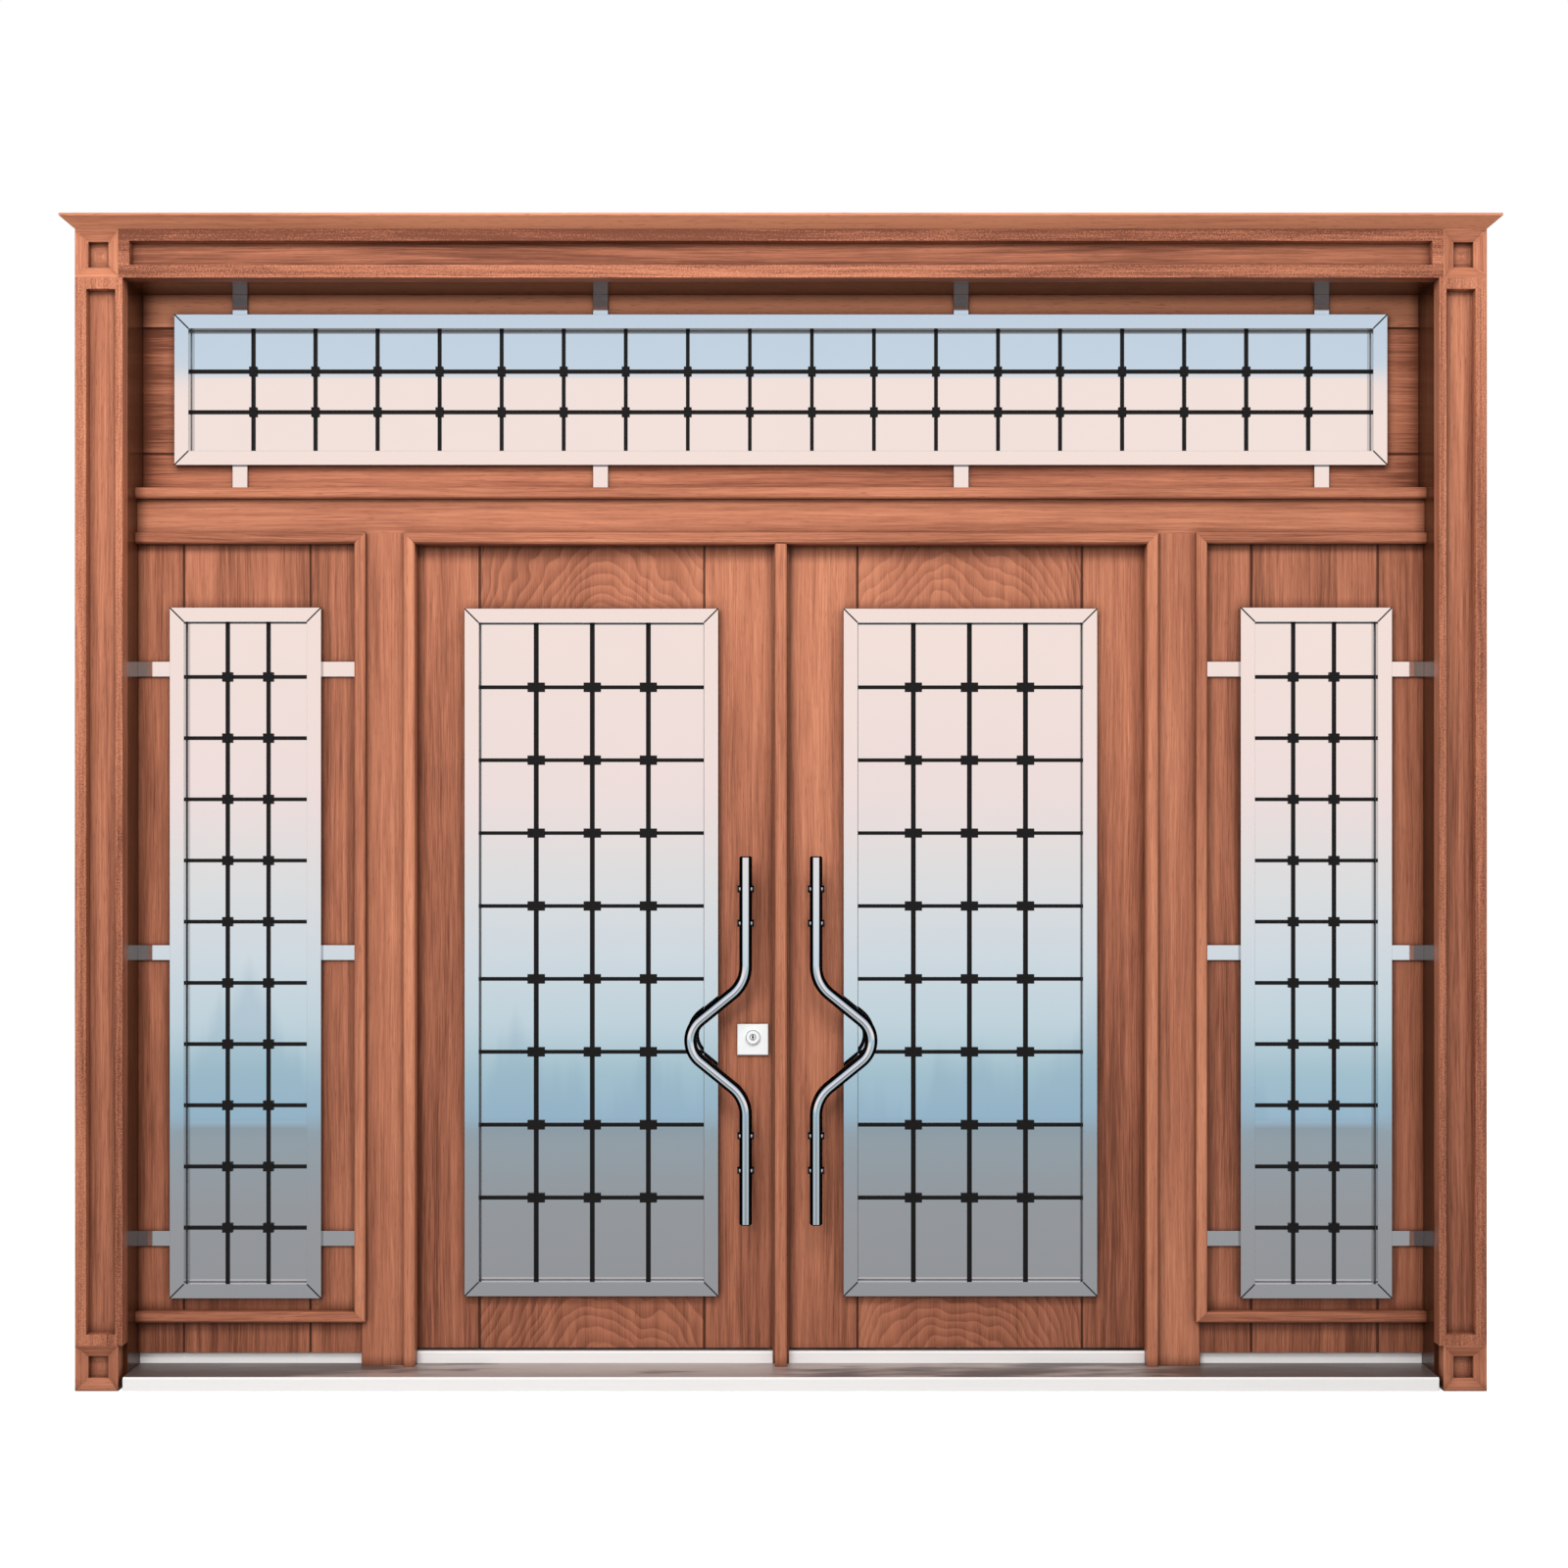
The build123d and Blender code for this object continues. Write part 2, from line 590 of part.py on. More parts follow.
def leaf(side, name):
    """A leaf with its glazing, and board joints beside the cut-out."""
    width = length(LEAF_GLASS)
    height = length(GLASS_HEIGHTS)
    centre_z = middle(GLASS_HEIGHTS)
    place = Pos(side * middle(LEAF_GLASS), LEAF_SETBACK, centre_z)
    x = (side * LEAF_MEETING_EDGE, side * LEAF_HINGE_EDGE)
    slab = block(x, (LEAF_SETBACK, LEAF_BACK), (LEAF_BOTTOM, LEAF_TOP))
    slab -= place * cut_out(width, height, LEAF_THICK)
    joint = width / 2 - LEAF_JOINT_INSET
    for groove in joint_grooves(LEAF_THICK, True, joint, LEAF_BOTTOM - centre_z, LEAF_TOP - centre_z):
        slab -= place * groove
    columns = split(daylight(width), LEAF_COLUMNS)
    rows = [LEAF_ROW_LIFT + offset for offset in split(daylight(height), LEAF_ROWS)]
    save(f"{name}_leaf", slab)
    save(f"{name}_leaf_glass", place * pane(width, height))
    bars = [place * bar for bar in glass_frame(width, height, LEAF_THICK)]
    save(f"{name}_leaf_glass_frame", *bars)
    lattice = grille(width, height, columns, rows, LEAF_CLAMP_WIDTH, LEAF_UPRIGHT_BAR_WIDTH)
    save(f"{name}_leaf_grille", place * lattice)


def bent_bar(route, bends, radius):
    """A round bar along (x, z) points: straight runs, with a revolved bend at each inner point."""
    points = [Vector(x, 0, z) for x, z in route]
    starts, bar = [points[0]], None
    for before, corner, after, bend in zip(points, points[1:], points[2:], bends):
        come, leave = (corner - before).normalized(), (after - corner).normalized()
        turn = come.get_angle(leave)
        reach = bend * tan(radians(turn / 2))
        starts += [corner - come * reach, corner + leave * reach]
        side_on = (leave - come).normalized()
        centre = corner + side_on * (bend / cos(radians(turn / 2)))
        spin = Axis(centre, come.cross(leave))
        elbow = revolve(Plane(starts[-2], z_dir=come) * Circle(radius), spin, turn)
        bar = elbow if bar is None else bar + elbow
    starts.append(points[-1])
    for start, end in zip(starts[::2], starts[1::2]):
        bar += extrude(Plane(start, z_dir=end - start) * Circle(radius), (end - start).length)
    return bar


def pull_handle(side):
    """A bent bar: straight ends, with an elbow that leans away from the meeting edge, on four posts."""
    elbow_z = middle((HANDLE_BOTTOM, HANDLE_TOP))
    route = [
        (side * HANDLE_X, HANDLE_BOTTOM),
        (side * HANDLE_X, elbow_z - HANDLE_ELBOW_HALF),
        (side * (HANDLE_X + HANDLE_ELBOW_REACH), elbow_z),
        (side * HANDLE_X, elbow_z + HANDLE_ELBOW_HALF),
        (side * HANDLE_X, HANDLE_TOP),
    ]
    bar = bent_bar(route, [HANDLE_SHOULDER_BEND, HANDLE_ELBOW_BEND, HANDLE_SHOULDER_BEND], HANDLE_RADIUS)
    ends = bar.faces().sort_by(Axis.Z)
    bar = chamfer([*ends[0].edges(), *ends[-1].edges()], HANDLE_END_ROUND)
    heights = [HANDLE_BOTTOM + rise for rise in STANDOFFS_ABOVE_BOTTOM]
    heights += [HANDLE_TOP - drop for drop in STANDOFFS_BELOW_TOP]
    for height in heights:
        post = Pos(0, HANDLE_STANDOFF / 2, 0) * Rot(90, 0, 0) * Cylinder(STANDOFF_RADIUS, HANDLE_STANDOFF)
        cross = Rot(0, 90, 0) * Cylinder(STANDOFF_RADIUS, STANDOFF_CROSS_LENGTH)
        bar += Pos(side * HANDLE_X, 0, height) * (post + cross)
    return Pos(0, LEAF_SETBACK - HANDLE_STANDOFF, 0) * bar


def hinges(side):
    """The frame's knuckles, plates and pins, and the leaf's knuckles and plates that turn on the pins."""
    frame_half = HINGE_HEIGHT / 2 - KNUCKLE_END_GAP
    plate_y = (LEAF_BACK, LEAF_BACK + HINGE_PLATE_THICK)
    fixed, moving = [], []
    for centre in evenly(LEAF_BOTTOM + HINGE_END, LEAF_TOP - HINGE_END, HINGE_COUNT):
        axis = Pos(side * PIVOT_X, PIVOT_Y, centre)
        low = (centre - HINGE_HEIGHT / 2, centre - KNUCKLE_END_GAP)
        high = (centre + KNUCKLE_END_GAP, centre + HINGE_HEIGHT / 2)
        knuckle = Cylinder(KNUCKLE_RADIUS, frame_half)
        lower = axis * Pos(0, 0, -(HINGE_HEIGHT / 2 + KNUCKLE_END_GAP) / 2) * knuckle
        pin = axis * Cylinder(PIN_RADIUS, HINGE_HEIGHT)
        frame_plate = block((side * PIVOT_X, side * (DOORWAY_HALF + HINGE_PLATE_LENGTH)), plate_y, low)
        fixed.append(lower + pin + frame_plate)
        upper = axis * Pos(0, 0, (HINGE_HEIGHT / 2 + KNUCKLE_END_GAP) / 2) * knuckle
        leaf_plate = block((side * (LEAF_HINGE_EDGE - HINGE_PLATE_LENGTH), side * PIVOT_X), plate_y, high)
        bore = axis * Cylinder(PIN_RADIUS + PIN_CLEARANCE, 2 * HINGE_HEIGHT)
        moving.append(upper + leaf_plate - bore)
    return fixed, moving


def lock():
    """Outside plate and cylinder on the left leaf, and a lever on a long plate inside."""
    plate_front = LEAF_SETBACK - LOCK_PLATE_THICK
    half = LOCK_PLATE / 2
    plate_x = (-LOCK_X - half, half - LOCK_X)
    plate = block(plate_x, (plate_front, LEAF_SETBACK), (LOCK_Z - half, LOCK_Z + half))
    save("lock_plate", chamfer(plate.faces().sort_by(Axis.Y)[0].edges(), LOCK_PLATE_THICK / 4))

    nose = Pos(-LOCK_X, plate_front - CYLINDER_PROUD / 2, LOCK_Z + CYLINDER_LIFT)
    key = Pos(-LOCK_X, plate_front - CYLINDER_PROUD + KEYHOLE_DEPTH / 2, LOCK_Z + CYLINDER_LIFT)
    slot = Box(KEYHOLE_RADIUS, KEYHOLE_DEPTH, 2 * KEYHOLE_DROP)
    round_end = Rot(90, 0, 0) * Cylinder(KEYHOLE_RADIUS, KEYHOLE_DEPTH)
    cylinder = nose * Rot(90, 0, 0) * Cylinder(CYLINDER_RADIUS, CYLINDER_PROUD)
    save("lock_cylinder", cylinder - key * (slot + round_end))

    plate_back = LEAF_BACK + LOCK_PLATE_THICK
    half_width, half_height = LEVER_PLATE_WIDTH / 2, LEVER_PLATE_HEIGHT / 2
    x = (-LOCK_X - half_width, half_width - LOCK_X)
    lever = block(x, (LEAF_BACK, plate_back), (LOCK_Z - half_height, LOCK_Z + half_height))
    neck_place = Pos(-LOCK_X, plate_back + LEVER_NECK_LENGTH / 2, LOCK_Z)
    lever += neck_place * Rot(90, 0, 0) * Cylinder(LEVER_NECK_RADIUS, LEVER_NECK_LENGTH)
    arm_end = plate_back + LEVER_NECK_LENGTH
    arm_x = (-LOCK_X - LEVER_LENGTH, LEVER_NECK_RADIUS - LOCK_X)
    arm_z = (LOCK_Z - LEVER_WIDTH / 2, LOCK_Z + LEVER_WIDTH / 2)
    save("inside_lever", lever + block(arm_x, (arm_end - LEVER_THICK, arm_end), arm_z))


def leaves():
    for side, name in ((LEFT, "left"), (RIGHT, "right")):
        leaf(side, name)
        save(f"{name}_pull_handle", pull_handle(side))
        fixed, moving = hinges(side)
        save(f"{name}_hinge_pins", *fixed)
        save(f"{name}_hinge_knuckles", *moving)


os.makedirs("parts", exist_ok=True)
casing()
frame()
mouldings()
transom()
sidelight()
leaves()
lock()
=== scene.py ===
import math

import bmesh
import bpy
from mathutils import Matrix, Vector


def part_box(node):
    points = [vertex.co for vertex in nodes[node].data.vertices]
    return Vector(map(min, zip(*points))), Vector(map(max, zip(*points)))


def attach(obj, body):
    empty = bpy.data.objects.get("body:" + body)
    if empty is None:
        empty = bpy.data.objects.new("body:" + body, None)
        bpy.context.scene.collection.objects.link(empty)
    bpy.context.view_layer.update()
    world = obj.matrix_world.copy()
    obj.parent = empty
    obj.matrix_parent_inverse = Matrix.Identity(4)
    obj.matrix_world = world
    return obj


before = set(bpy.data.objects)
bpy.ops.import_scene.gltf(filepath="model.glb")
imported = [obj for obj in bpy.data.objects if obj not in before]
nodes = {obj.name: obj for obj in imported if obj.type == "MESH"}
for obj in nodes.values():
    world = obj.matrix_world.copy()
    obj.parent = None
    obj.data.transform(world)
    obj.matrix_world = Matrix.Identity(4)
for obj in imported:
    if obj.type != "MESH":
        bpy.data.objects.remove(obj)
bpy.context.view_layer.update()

# Entrance door set: a pair of glazed leaves between sidelights, under a transom light, in a cased frame.
# Metres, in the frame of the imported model: +X to the right seen from outside, +Y into the house, +Z up.

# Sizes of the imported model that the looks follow
GLASS_FRAME_FACE = 0.036
JOINT_HALF = 0.0032
PLANK_INSET = 0.008  # a leaf's plank joints lie this far inside the edges of its glass
LIGHT_PLANK_INSET = 0.003  # and so do those of the sidelights and the transom light
HANDLE_X = 0.0895
HANDLE_RADIUS = 0.016
PIN_HEIGHTS = (0.538, 0.626, 1.166, 1.253)
PIN_REACH = 0.012
PIN_CLEAR = 0.0003  # the pins' finish starts this far outside the tube
POLISHED_FROM = 0.92  # a handle is polished where its normal's share along Y is above this
BLACK_FROM = 0.85  # and black where it is below this: a black finish that also paints the dark reflection along its edges
KEYHOLE_DEPTH = 0.004
KEYHOLE_RADIUS = 0.003
KEYHOLE_DROP = 0.008
HINGE_COUNT = 4
HINGE_END = 0.230
HINGE_PLATE_THICK = 0.004

# Small pieces
SCREW_RADIUS = 0.0042
SCREW_RISE = 0.0018
SOCKET_HALF = 0.0018
SCREW_INSETS = (0.010, 0.030)  # from the outer edge of a hinge plate
SCREW_RISES = (0.016, 0.046)  # from the middle of a hinge
PLATE_SCREW_INSET = 0.014
INSIDE_KEYHOLE_RISE = 0.050
RING_INSET = 0.0008
RING_WIDTH = 0.0014
ROTOR_RADIUS = 0.0085
ROTOR_RING_WIDTH = 0.0022
SEAM_WIDTH = 0.0036
SEAM_THICK = 0.0004
SEALANT_WIDTH = 0.0022
GASKET_WIDTH = 0.008
GASKET_THICK = 0.0006
EDGE_PLATE_WIDTH = 0.022
EDGE_PLATE_THICK = 0.001
EDGE_PLATE_HALF = 0.120
EDGE_SCREW_SHARE = 0.88  # of the way from the plate's middle to its end
BOLT_WIDTH = 0.012
BOLT_OPENINGS = ((0.45, 0.034), (-0.35, 0.046))  # place, as a share of the plate's half, and length
SEAL_WIDTH = 0.007
SEAL_THICK = 0.003
SEAL_INSET = 0.011

# Camera: as far from the casing's front as the photograph's perspective asks, and level
CAMERA_HEIGHT = 1.405
CAMERA_TO_CASING = 5.0
CASING_FRONT = -0.115
PHOTO_WIDTH = 3.920  # what the picture's width takes in at the casing's front
SENSOR = 36.0
CAMERA_SHIFT_X = 0.002
CAMERA_SHIFT_Y = 0.0288

# Stage
FLOOR_FRONT = -4.55
FLOOR_BACK = 9.0
FLOOR_HALF = 9.0
FLOOR_DROP = 0.0005


def linear(red, green, blue):
    """A colour written as 8-bit screen values, as the linear values that shaders take."""
    def one(value):
        share = value / 255
        return share / 12.92 if share <= 0.04045 else ((share + 0.055) / 1.055) ** 2.4
    return (one(red), one(green), one(blue), 1.0)


class Graph:
    """Adds nodes to a shader tree and links them. An argument is a socket or a plain value."""

    def __init__(self, tree):
        self.tree = tree

    def put(self, socket, value):
        if isinstance(value, bpy.types.NodeSocket):
            self.tree.links.new(value, socket)
        else:
            socket.default_value = value

    def node(self, kind, inputs=None, **settings):
        made = self.tree.nodes.new(kind)
        for name, value in settings.items():
            setattr(made, name, value)
        for name, value in (inputs or {}).items():
            self.put(made.inputs[name], value)
        return made

    def math(self, operation, *values):
        made = self.node("ShaderNodeMath", operation=operation)
        for socket, value in zip(made.inputs, values):
            self.put(socket, value)
        return made.outputs[0]

    def vector(self, x, y, z):
        return self.node("ShaderNodeCombineXYZ", {"X": x, "Y": y, "Z": z}).outputs[0]

    def axes(self, vector):
        return self.node("ShaderNodeSeparateXYZ", {"Vector": vector}).outputs

    def scaled(self, axes, scales):
        """A place whose three axes are stretched one by one."""
        return self.vector(*[self.math("MULTIPLY", axis, scale) for axis, scale in zip(axes, scales)])

    def noise(self, vector, scale=1.0, detail=2.0, roughness=0.5):
        inputs = {"Vector": vector, "Scale": scale, "Detail": detail, "Roughness": roughness}
        return self.node("ShaderNodeTexNoise", inputs).outputs["Fac"]

    def remap(self, value, low, high, new_low=0.0, new_high=1.0, smooth=False):
        made = self.node("ShaderNodeMapRange", interpolation_type="SMOOTHSTEP" if smooth else "LINEAR")
        for name, given in (
            ("Value", value), ("From Min", low), ("From Max", high), ("To Min", new_low), ("To Max", new_high)
        ):
            self.put(made.inputs[name], given)
        return made.outputs[0]

    def mix(self, share, first, second):
        """A mix of two colours."""
        made = self.node("ShaderNodeMix", data_type="RGBA")
        for socket, value in zip((made.inputs[0], made.inputs[6], made.inputs[7]), (share, first, second)):
            self.put(socket, value)
        return made.outputs[2]

    def mix_vector(self, share, first, second):
        made = self.node("ShaderNodeMix", data_type="VECTOR")
        for socket, value in zip((made.inputs[0], made.inputs[4], made.inputs[5]), (share, first, second)):
            self.put(socket, value)
        return made.outputs[1]

    def ramp(self, share, stops):
        made = self.node("ShaderNodeValToRGB", {"Fac": share})
        elements = made.color_ramp.elements
        for index, (place, colour) in enumerate(stops):
            element = elements[index] if index < 2 else elements.new(place)
            element.position = place
            element.color = colour
        return made.outputs["Color"]


def new_material(name):
    material = bpy.data.materials.new(name)
    material.use_nodes = True
    graph = Graph(material.node_tree)
    shader = material.node_tree.nodes["Principled BSDF"]
    return material, graph, shader


# Wood-grain finish

# How much each scale of grain adds to the tone, and how the sum is spread
BAND_SHARE = 0.34
STREAK_SHARE = 0.36
FIBRE_SHARE = 0.38
TONE_MIDDLE = 0.54
TONE_GAIN = 2.5
SWAY_REACH = 0.04
PORE_SHADE = 0.5
# The flame figure on the leaves' rails
FLAME_SHARE = 0.42
FLAME_RINGS = 30.0  # to a metre
FLAME_SWAY = 7.0
FLAME_SQUEEZE = 1.5
FLAME_OFFSET = 0.05
FLAME_FOCUS_ABOVE = 0.16
FLAME_FOCUS_BELOW = 0.42
# The coarse print on the casing's borders
SPECKLE_SCALE = 260.0
SPECKLE_SWING = 1.1
BORDER_DEPTH = 0.006
BOARD_SHIFT = 1.37  # between one board's stretch of grain and the next
GLOSS_SWING = 0.05
CASING_LIFT = 0.06
CORNER_REACH = 0.03
CORNER_PAINTED_SHADE = linear(62, 26, 10)  # painted shade: the grain is darkened along inside corners
JOINT_STAIN = linear(70, 38, 26)
JOINT_SHARE = 0.7
WOOD = (linear(110, 63, 45), linear(170, 106, 80), linear(209, 139, 106))
# palette of the reveals: partly a darker wood, partly painted shade of the deep reveals
DARK_WOOD_AND_SHADE = (linear(58, 31, 18), linear(86, 48, 29), linear(112, 66, 42))


def wood_group():
    """Straight grain along the vector's Z: broad bands, streaks, fibres and pores."""
    tree = bpy.data.node_groups.new("wood_grain", "ShaderNodeTree")
    sockets = tree.interface
    sockets.new_socket("Vector", in_out="INPUT", socket_type="NodeSocketVector")
    sockets.new_socket("Tone", in_out="OUTPUT", socket_type="NodeSocketFloat")
    sockets.new_socket("Height", in_out="OUTPUT", socket_type="NodeSocketFloat")
    sockets.new_socket("Pores", in_out="OUTPUT", socket_type="NodeSocketFloat")
    graph = Graph(tree)
    source = graph.node("NodeGroupInput").outputs["Vector"]
    across, depth, along = graph.axes(source)

    def stretched(cross_scale, long_scale, shift):
        moved = graph.math("ADD", across, shift)
        return graph.scaled((moved, depth, along), (cross_scale, cross_scale, long_scale))

    sway = graph.noise(stretched(2.0, 0.8, 0.0), detail=2.0)
    shift = graph.math("MULTIPLY", graph.math("SUBTRACT", sway, 0.5), SWAY_REACH)
    bands = graph.noise(stretched(11.0, 0.8, shift), detail=2.0, roughness=0.5)
    streaks = graph.noise(stretched(70.0, 1.3, shift), detail=4.0, roughness=0.65)
    fibres = graph.noise(stretched(300.0, 7.0, shift), detail=3.0, roughness=0.65)
    dashes = graph.noise(stretched(520.0, 26.0, shift), detail=1.0)
    pores = graph.remap(dashes, 0.62, 0.74, smooth=True)
    tone = graph.math("MULTIPLY", bands, BAND_SHARE)
    tone = graph.math("MULTIPLY_ADD", streaks, STREAK_SHARE, tone)
    tone = graph.math("MULTIPLY_ADD", fibres, FIBRE_SHARE, tone)
    height = graph.math("MULTIPLY_ADD", streaks, 0.35, graph.math("MULTIPLY", fibres, 0.65))
    height = graph.math("MULTIPLY_ADD", pores, -0.6, height)
    result = graph.node("NodeGroupOutput").inputs
    centred = graph.math("SUBTRACT", tone, TONE_MIDDLE)
    graph.put(result["Tone"], graph.math("MULTIPLY_ADD", centred, TONE_GAIN, 0.5))
    graph.put(result["Height"], height)
    graph.put(result["Pores"], pores)
    return tree


GRAIN = wood_group()


def object_axes(graph):
    return graph.axes(graph.node("ShaderNodeTexCoord").outputs["Object"])


def wood(name, lay, palette=WOOD, lift=0.0, gloss=0.44, figure=None, joints=None, rough_face=None, shade=None):
    """A wood-grain finish. lay(graph, x, y, z) gives the place in the grain, along its Z. Where there are such,
    figure gives the share and the tone of a flame figure, and joints the share of dark board joints. In front of
    rough_face, along Y, the print is coarse and speckled. shade gives how much darker or lighter the print is."""
    material, graph, shader = new_material(name)
    x, y, z = object_axes(graph)
    grain = graph.node("ShaderNodeGroup", node_tree=GRAIN)
    graph.put(grain.inputs["Vector"], lay(graph, x, y, z))
    tone = grain.outputs["Tone"]
    if figure:
        share, rings = figure(graph, x, y, z)
        plain = graph.math("MULTIPLY", tone, 1.0 - FLAME_SHARE)
        blended = graph.math("MULTIPLY_ADD", rings, FLAME_SHARE, plain)
        tone = graph.math("ADD", tone, graph.math("MULTIPLY", share, graph.math("SUBTRACT", blended, tone)))
    if rough_face is not None:
        speckle = graph.noise(graph.vector(x, y, z), scale=SPECKLE_SCALE, detail=1.0)
        swing = graph.math("MULTIPLY", graph.math("SUBTRACT", speckle, 0.5), SPECKLE_SWING)
        outer = graph.math("LESS_THAN", y, rough_face)
        tone = graph.math("MULTIPLY_ADD", swing, outer, tone)
    tone = graph.math("ADD", tone, lift)
    if shade:
        tone = graph.math("ADD", tone, shade(graph, x, y, z))
    dark, middle, light = palette
    colour = graph.ramp(tone, [(0.12, dark), (0.95, light), (0.5, middle)])
    pore_shade = graph.math("MULTIPLY", grain.outputs["Pores"], PORE_SHADE)
    colour = graph.mix(pore_shade, colour, dark)
    if joints:
        colour = graph.mix(joints(graph, x, y, z), colour, JOINT_STAIN)
    # painted shade: an occlusion node darkens the grain in inside corners and crevices
    corner = graph.node("ShaderNodeAmbientOcclusion", {"Distance": CORNER_REACH}, samples=3)
    colour = graph.mix(graph.remap(corner.outputs["AO"], 0.95, 0.25), colour, CORNER_PAINTED_SHADE)
    graph.put(shader.inputs["Base Color"], colour)
    rough = graph.remap(tone, 0.0, 1.0, gloss + GLOSS_SWING, gloss - GLOSS_SWING)
    graph.put(shader.inputs["Roughness"], rough)
    shader.inputs["Specular IOR Level"].default_value = 0.25
    bevel = graph.node("ShaderNodeBevel", {"Radius": 0.0015}, samples=4)
    bump = graph.node("ShaderNodeBump", {"Strength": 0.25, "Distance": 0.0006})
    graph.put(bump.inputs["Height"], grain.outputs["Height"])
    graph.put(bump.inputs["Normal"], bevel.outputs[0])
    graph.put(shader.inputs["Normal"], bump.outputs[0])
    return material


def upright(seed):
    """Grain that runs up, with a shift that sets one piece's pattern apart from the next."""
    def lay(graph, x, y, z):
        return graph.vector(graph.math("ADD", x, seed), y, graph.math("ADD", z, seed * 3))
    return lay


def level(seed):
    """Grain that runs along X."""
    def lay(graph, x, y, z):
        return graph.vector(graph.math("ADD", z, seed), y, graph.math("ADD", x, seed * 3))
    return lay


def planks(seed, edges, flat):
    """Boards side by side, each with its own stretch of grain; flat boards lie along X."""
    def lay(graph, x, y, z):
        across, along = (z, x) if flat else (x, z)
        shift = seed
        for edge in edges:
            over = graph.math("GREATER_THAN", across, edge)
            shift = graph.math("MULTIPLY_ADD", over, BOARD_SHIFT, shift)
        return graph.vector(
            graph.math("ADD", across, shift), y, graph.math("MULTIPLY_ADD", shift, 3.1, along)
        )
    return lay


def dark_joints(edges, flat):
    """The bottoms of the board joints beside a light."""
    def share(graph, x, y, z):
        across = z if flat else x
        near = [graph.math("COMPARE", across, edge, JOINT_HALF) for edge in edges]
        return graph.math("MULTIPLY", graph.math("ADD", *near), JOINT_SHARE)
    return share


def mitred(seed, is_upright):
    """Lengths of moulding that meet on mitres: is_upright tells the upright ones from the level ones."""
    def lay(graph, x, y, z):
        stand = upright(seed)(graph, x, y, z)
        lie = level(seed + 0.7)(graph, x, y, z)
        return graph.mix_vector(is_upright(graph, x, y, z), lie, stand)
    return lay


def finish(node, material):
    slots = nodes[node].data.materials
    slots.clear()
    slots.append(material)


def doorway_mitre(graph, x, y, z):
    """True on the legs of the door moulding, false on its head."""
    low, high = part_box("door_moulding")
    from_side = graph.math("SUBTRACT", high.x, graph.math("ABSOLUTE", x))
    from_top = graph.math("SUBTRACT", high.z, z)
    return graph.math("GREATER_THAN", from_top, from_side)


def bead_mitre(node):
    """True on the bead's length along the mullion, false on its head and foot."""
    low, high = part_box(node)
    inner = min(abs(low.x), abs(high.x))

    def is_upright(graph, x, y, z):
        from_side = graph.math("SUBTRACT", graph.math("ABSOLUTE", x), inner)
        from_end = graph.math("MINIMUM", graph.math("SUBTRACT", high.z, z), graph.math("SUBTRACT", z, low.z))
        return graph.math("GREATER_THAN", from_end, from_side)
    return is_upright


def tray_mitre(node):
    """True on the side slopes of a casing block, false above and below."""
    low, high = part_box(node)
    centre = (low + high) / 2

    def is_upright(graph, x, y, z):
        sideways = graph.math("ABSOLUTE", graph.math("SUBTRACT", x, centre.x))
        upward = graph.math("ABSOLUTE", graph.math("SUBTRACT", z, centre.z))
        return graph.math("GREATER_THAN", sideways, upward)
    return is_upright


def flame(node_glass, sign):
    """Arched rings on the boards above and below a leaf's glass."""
    low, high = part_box(node_glass)
    centre_x = (low.x + high.x) / 2
    centre_z = (low.z + high.z) / 2
    half = (high.x - low.x) / 2 - PLANK_INSET
    focus_above = high.z - FLAME_FOCUS_ABOVE
    focus_below = low.z - FLAME_FOCUS_BELOW

    def rings(graph, x, y, z):
        across = graph.math("SUBTRACT", x, centre_x)
        above = graph.math("GREATER_THAN", z, centre_z)
        focus = graph.math("MULTIPLY_ADD", above, focus_above - focus_below, focus_below)
        rise = graph.math("SUBTRACT", z, focus)
        wide = graph.math("MULTIPLY", graph.math("MULTIPLY_ADD", sign, FLAME_OFFSET, across), FLAME_SQUEEZE)
        squares = graph.math("ADD", graph.math("POWER", rise, 2.0), graph.math("POWER", wide, 2.0))
        reach = graph.math("SQRT", squares)
        place = graph.vector(graph.math("ADD", x, sign * 3.0), y, graph.math("MULTIPLY", z, 0.7))
        sway = graph.noise(place, scale=6.0, detail=2.0)
        phase = graph.math("MULTIPLY_ADD", sway, FLAME_SWAY, graph.math("MULTIPLY", reach, FLAME_RINGS))
        saw = graph.math("FRACT", phase)
        soft = graph.math("MULTIPLY", saw, graph.remap(saw, 0.86, 1.0, 1.0, 0.0, smooth=True))
        inside = graph.math("LESS_THAN", graph.math("ABSOLUTE", across), half)
        return inside, graph.remap(soft, 0.0, 0.9, 0.22, 0.78)
    return rings


def head_casing_shade(border):
    """The head casing's upper border is darkened as painted shade below the cornice, and its sunk panel slightly
    so.
    """
    low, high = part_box("head_casing")
    centre_z = (low.z + high.z) / 2

    def shade(graph, x, y, z):
        outer = graph.math("LESS_THAN", y, border)
        upper = graph.math("GREATER_THAN", z, centre_z)
        panel = graph.math("MULTIPLY", graph.math("SUBTRACT", 1.0, outer), -0.05)
        return graph.math("MULTIPLY_ADD", graph.math("MULTIPLY", outer, upper), -0.2, panel)
    return shade


def transom_shade(graph, x, y, z):
    """Painted light and shade: the transom panel's top board is lightened against the head casing's shadow, and its
    ends are darkened as painted shade beside the jambs.
    """
    low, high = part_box("transom_glass")
    ends = graph.remap(graph.math("ABSOLUTE", x), high.x, high.x + 0.14, 0.0, -0.4, smooth=True)
    return graph.math("MULTIPLY_ADD", graph.math("GREATER_THAN", z, high.z), 0.66, ends)


def foot_shade(node):
    """Painted shade: the board below a sidelight is darkened, where the light falls off towards the floor."""
    low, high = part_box(node)

    def shade(graph, x, y, z):
        return graph.math("MULTIPLY", graph.math("LESS_THAN", z, low.z), -0.1)
    return shade


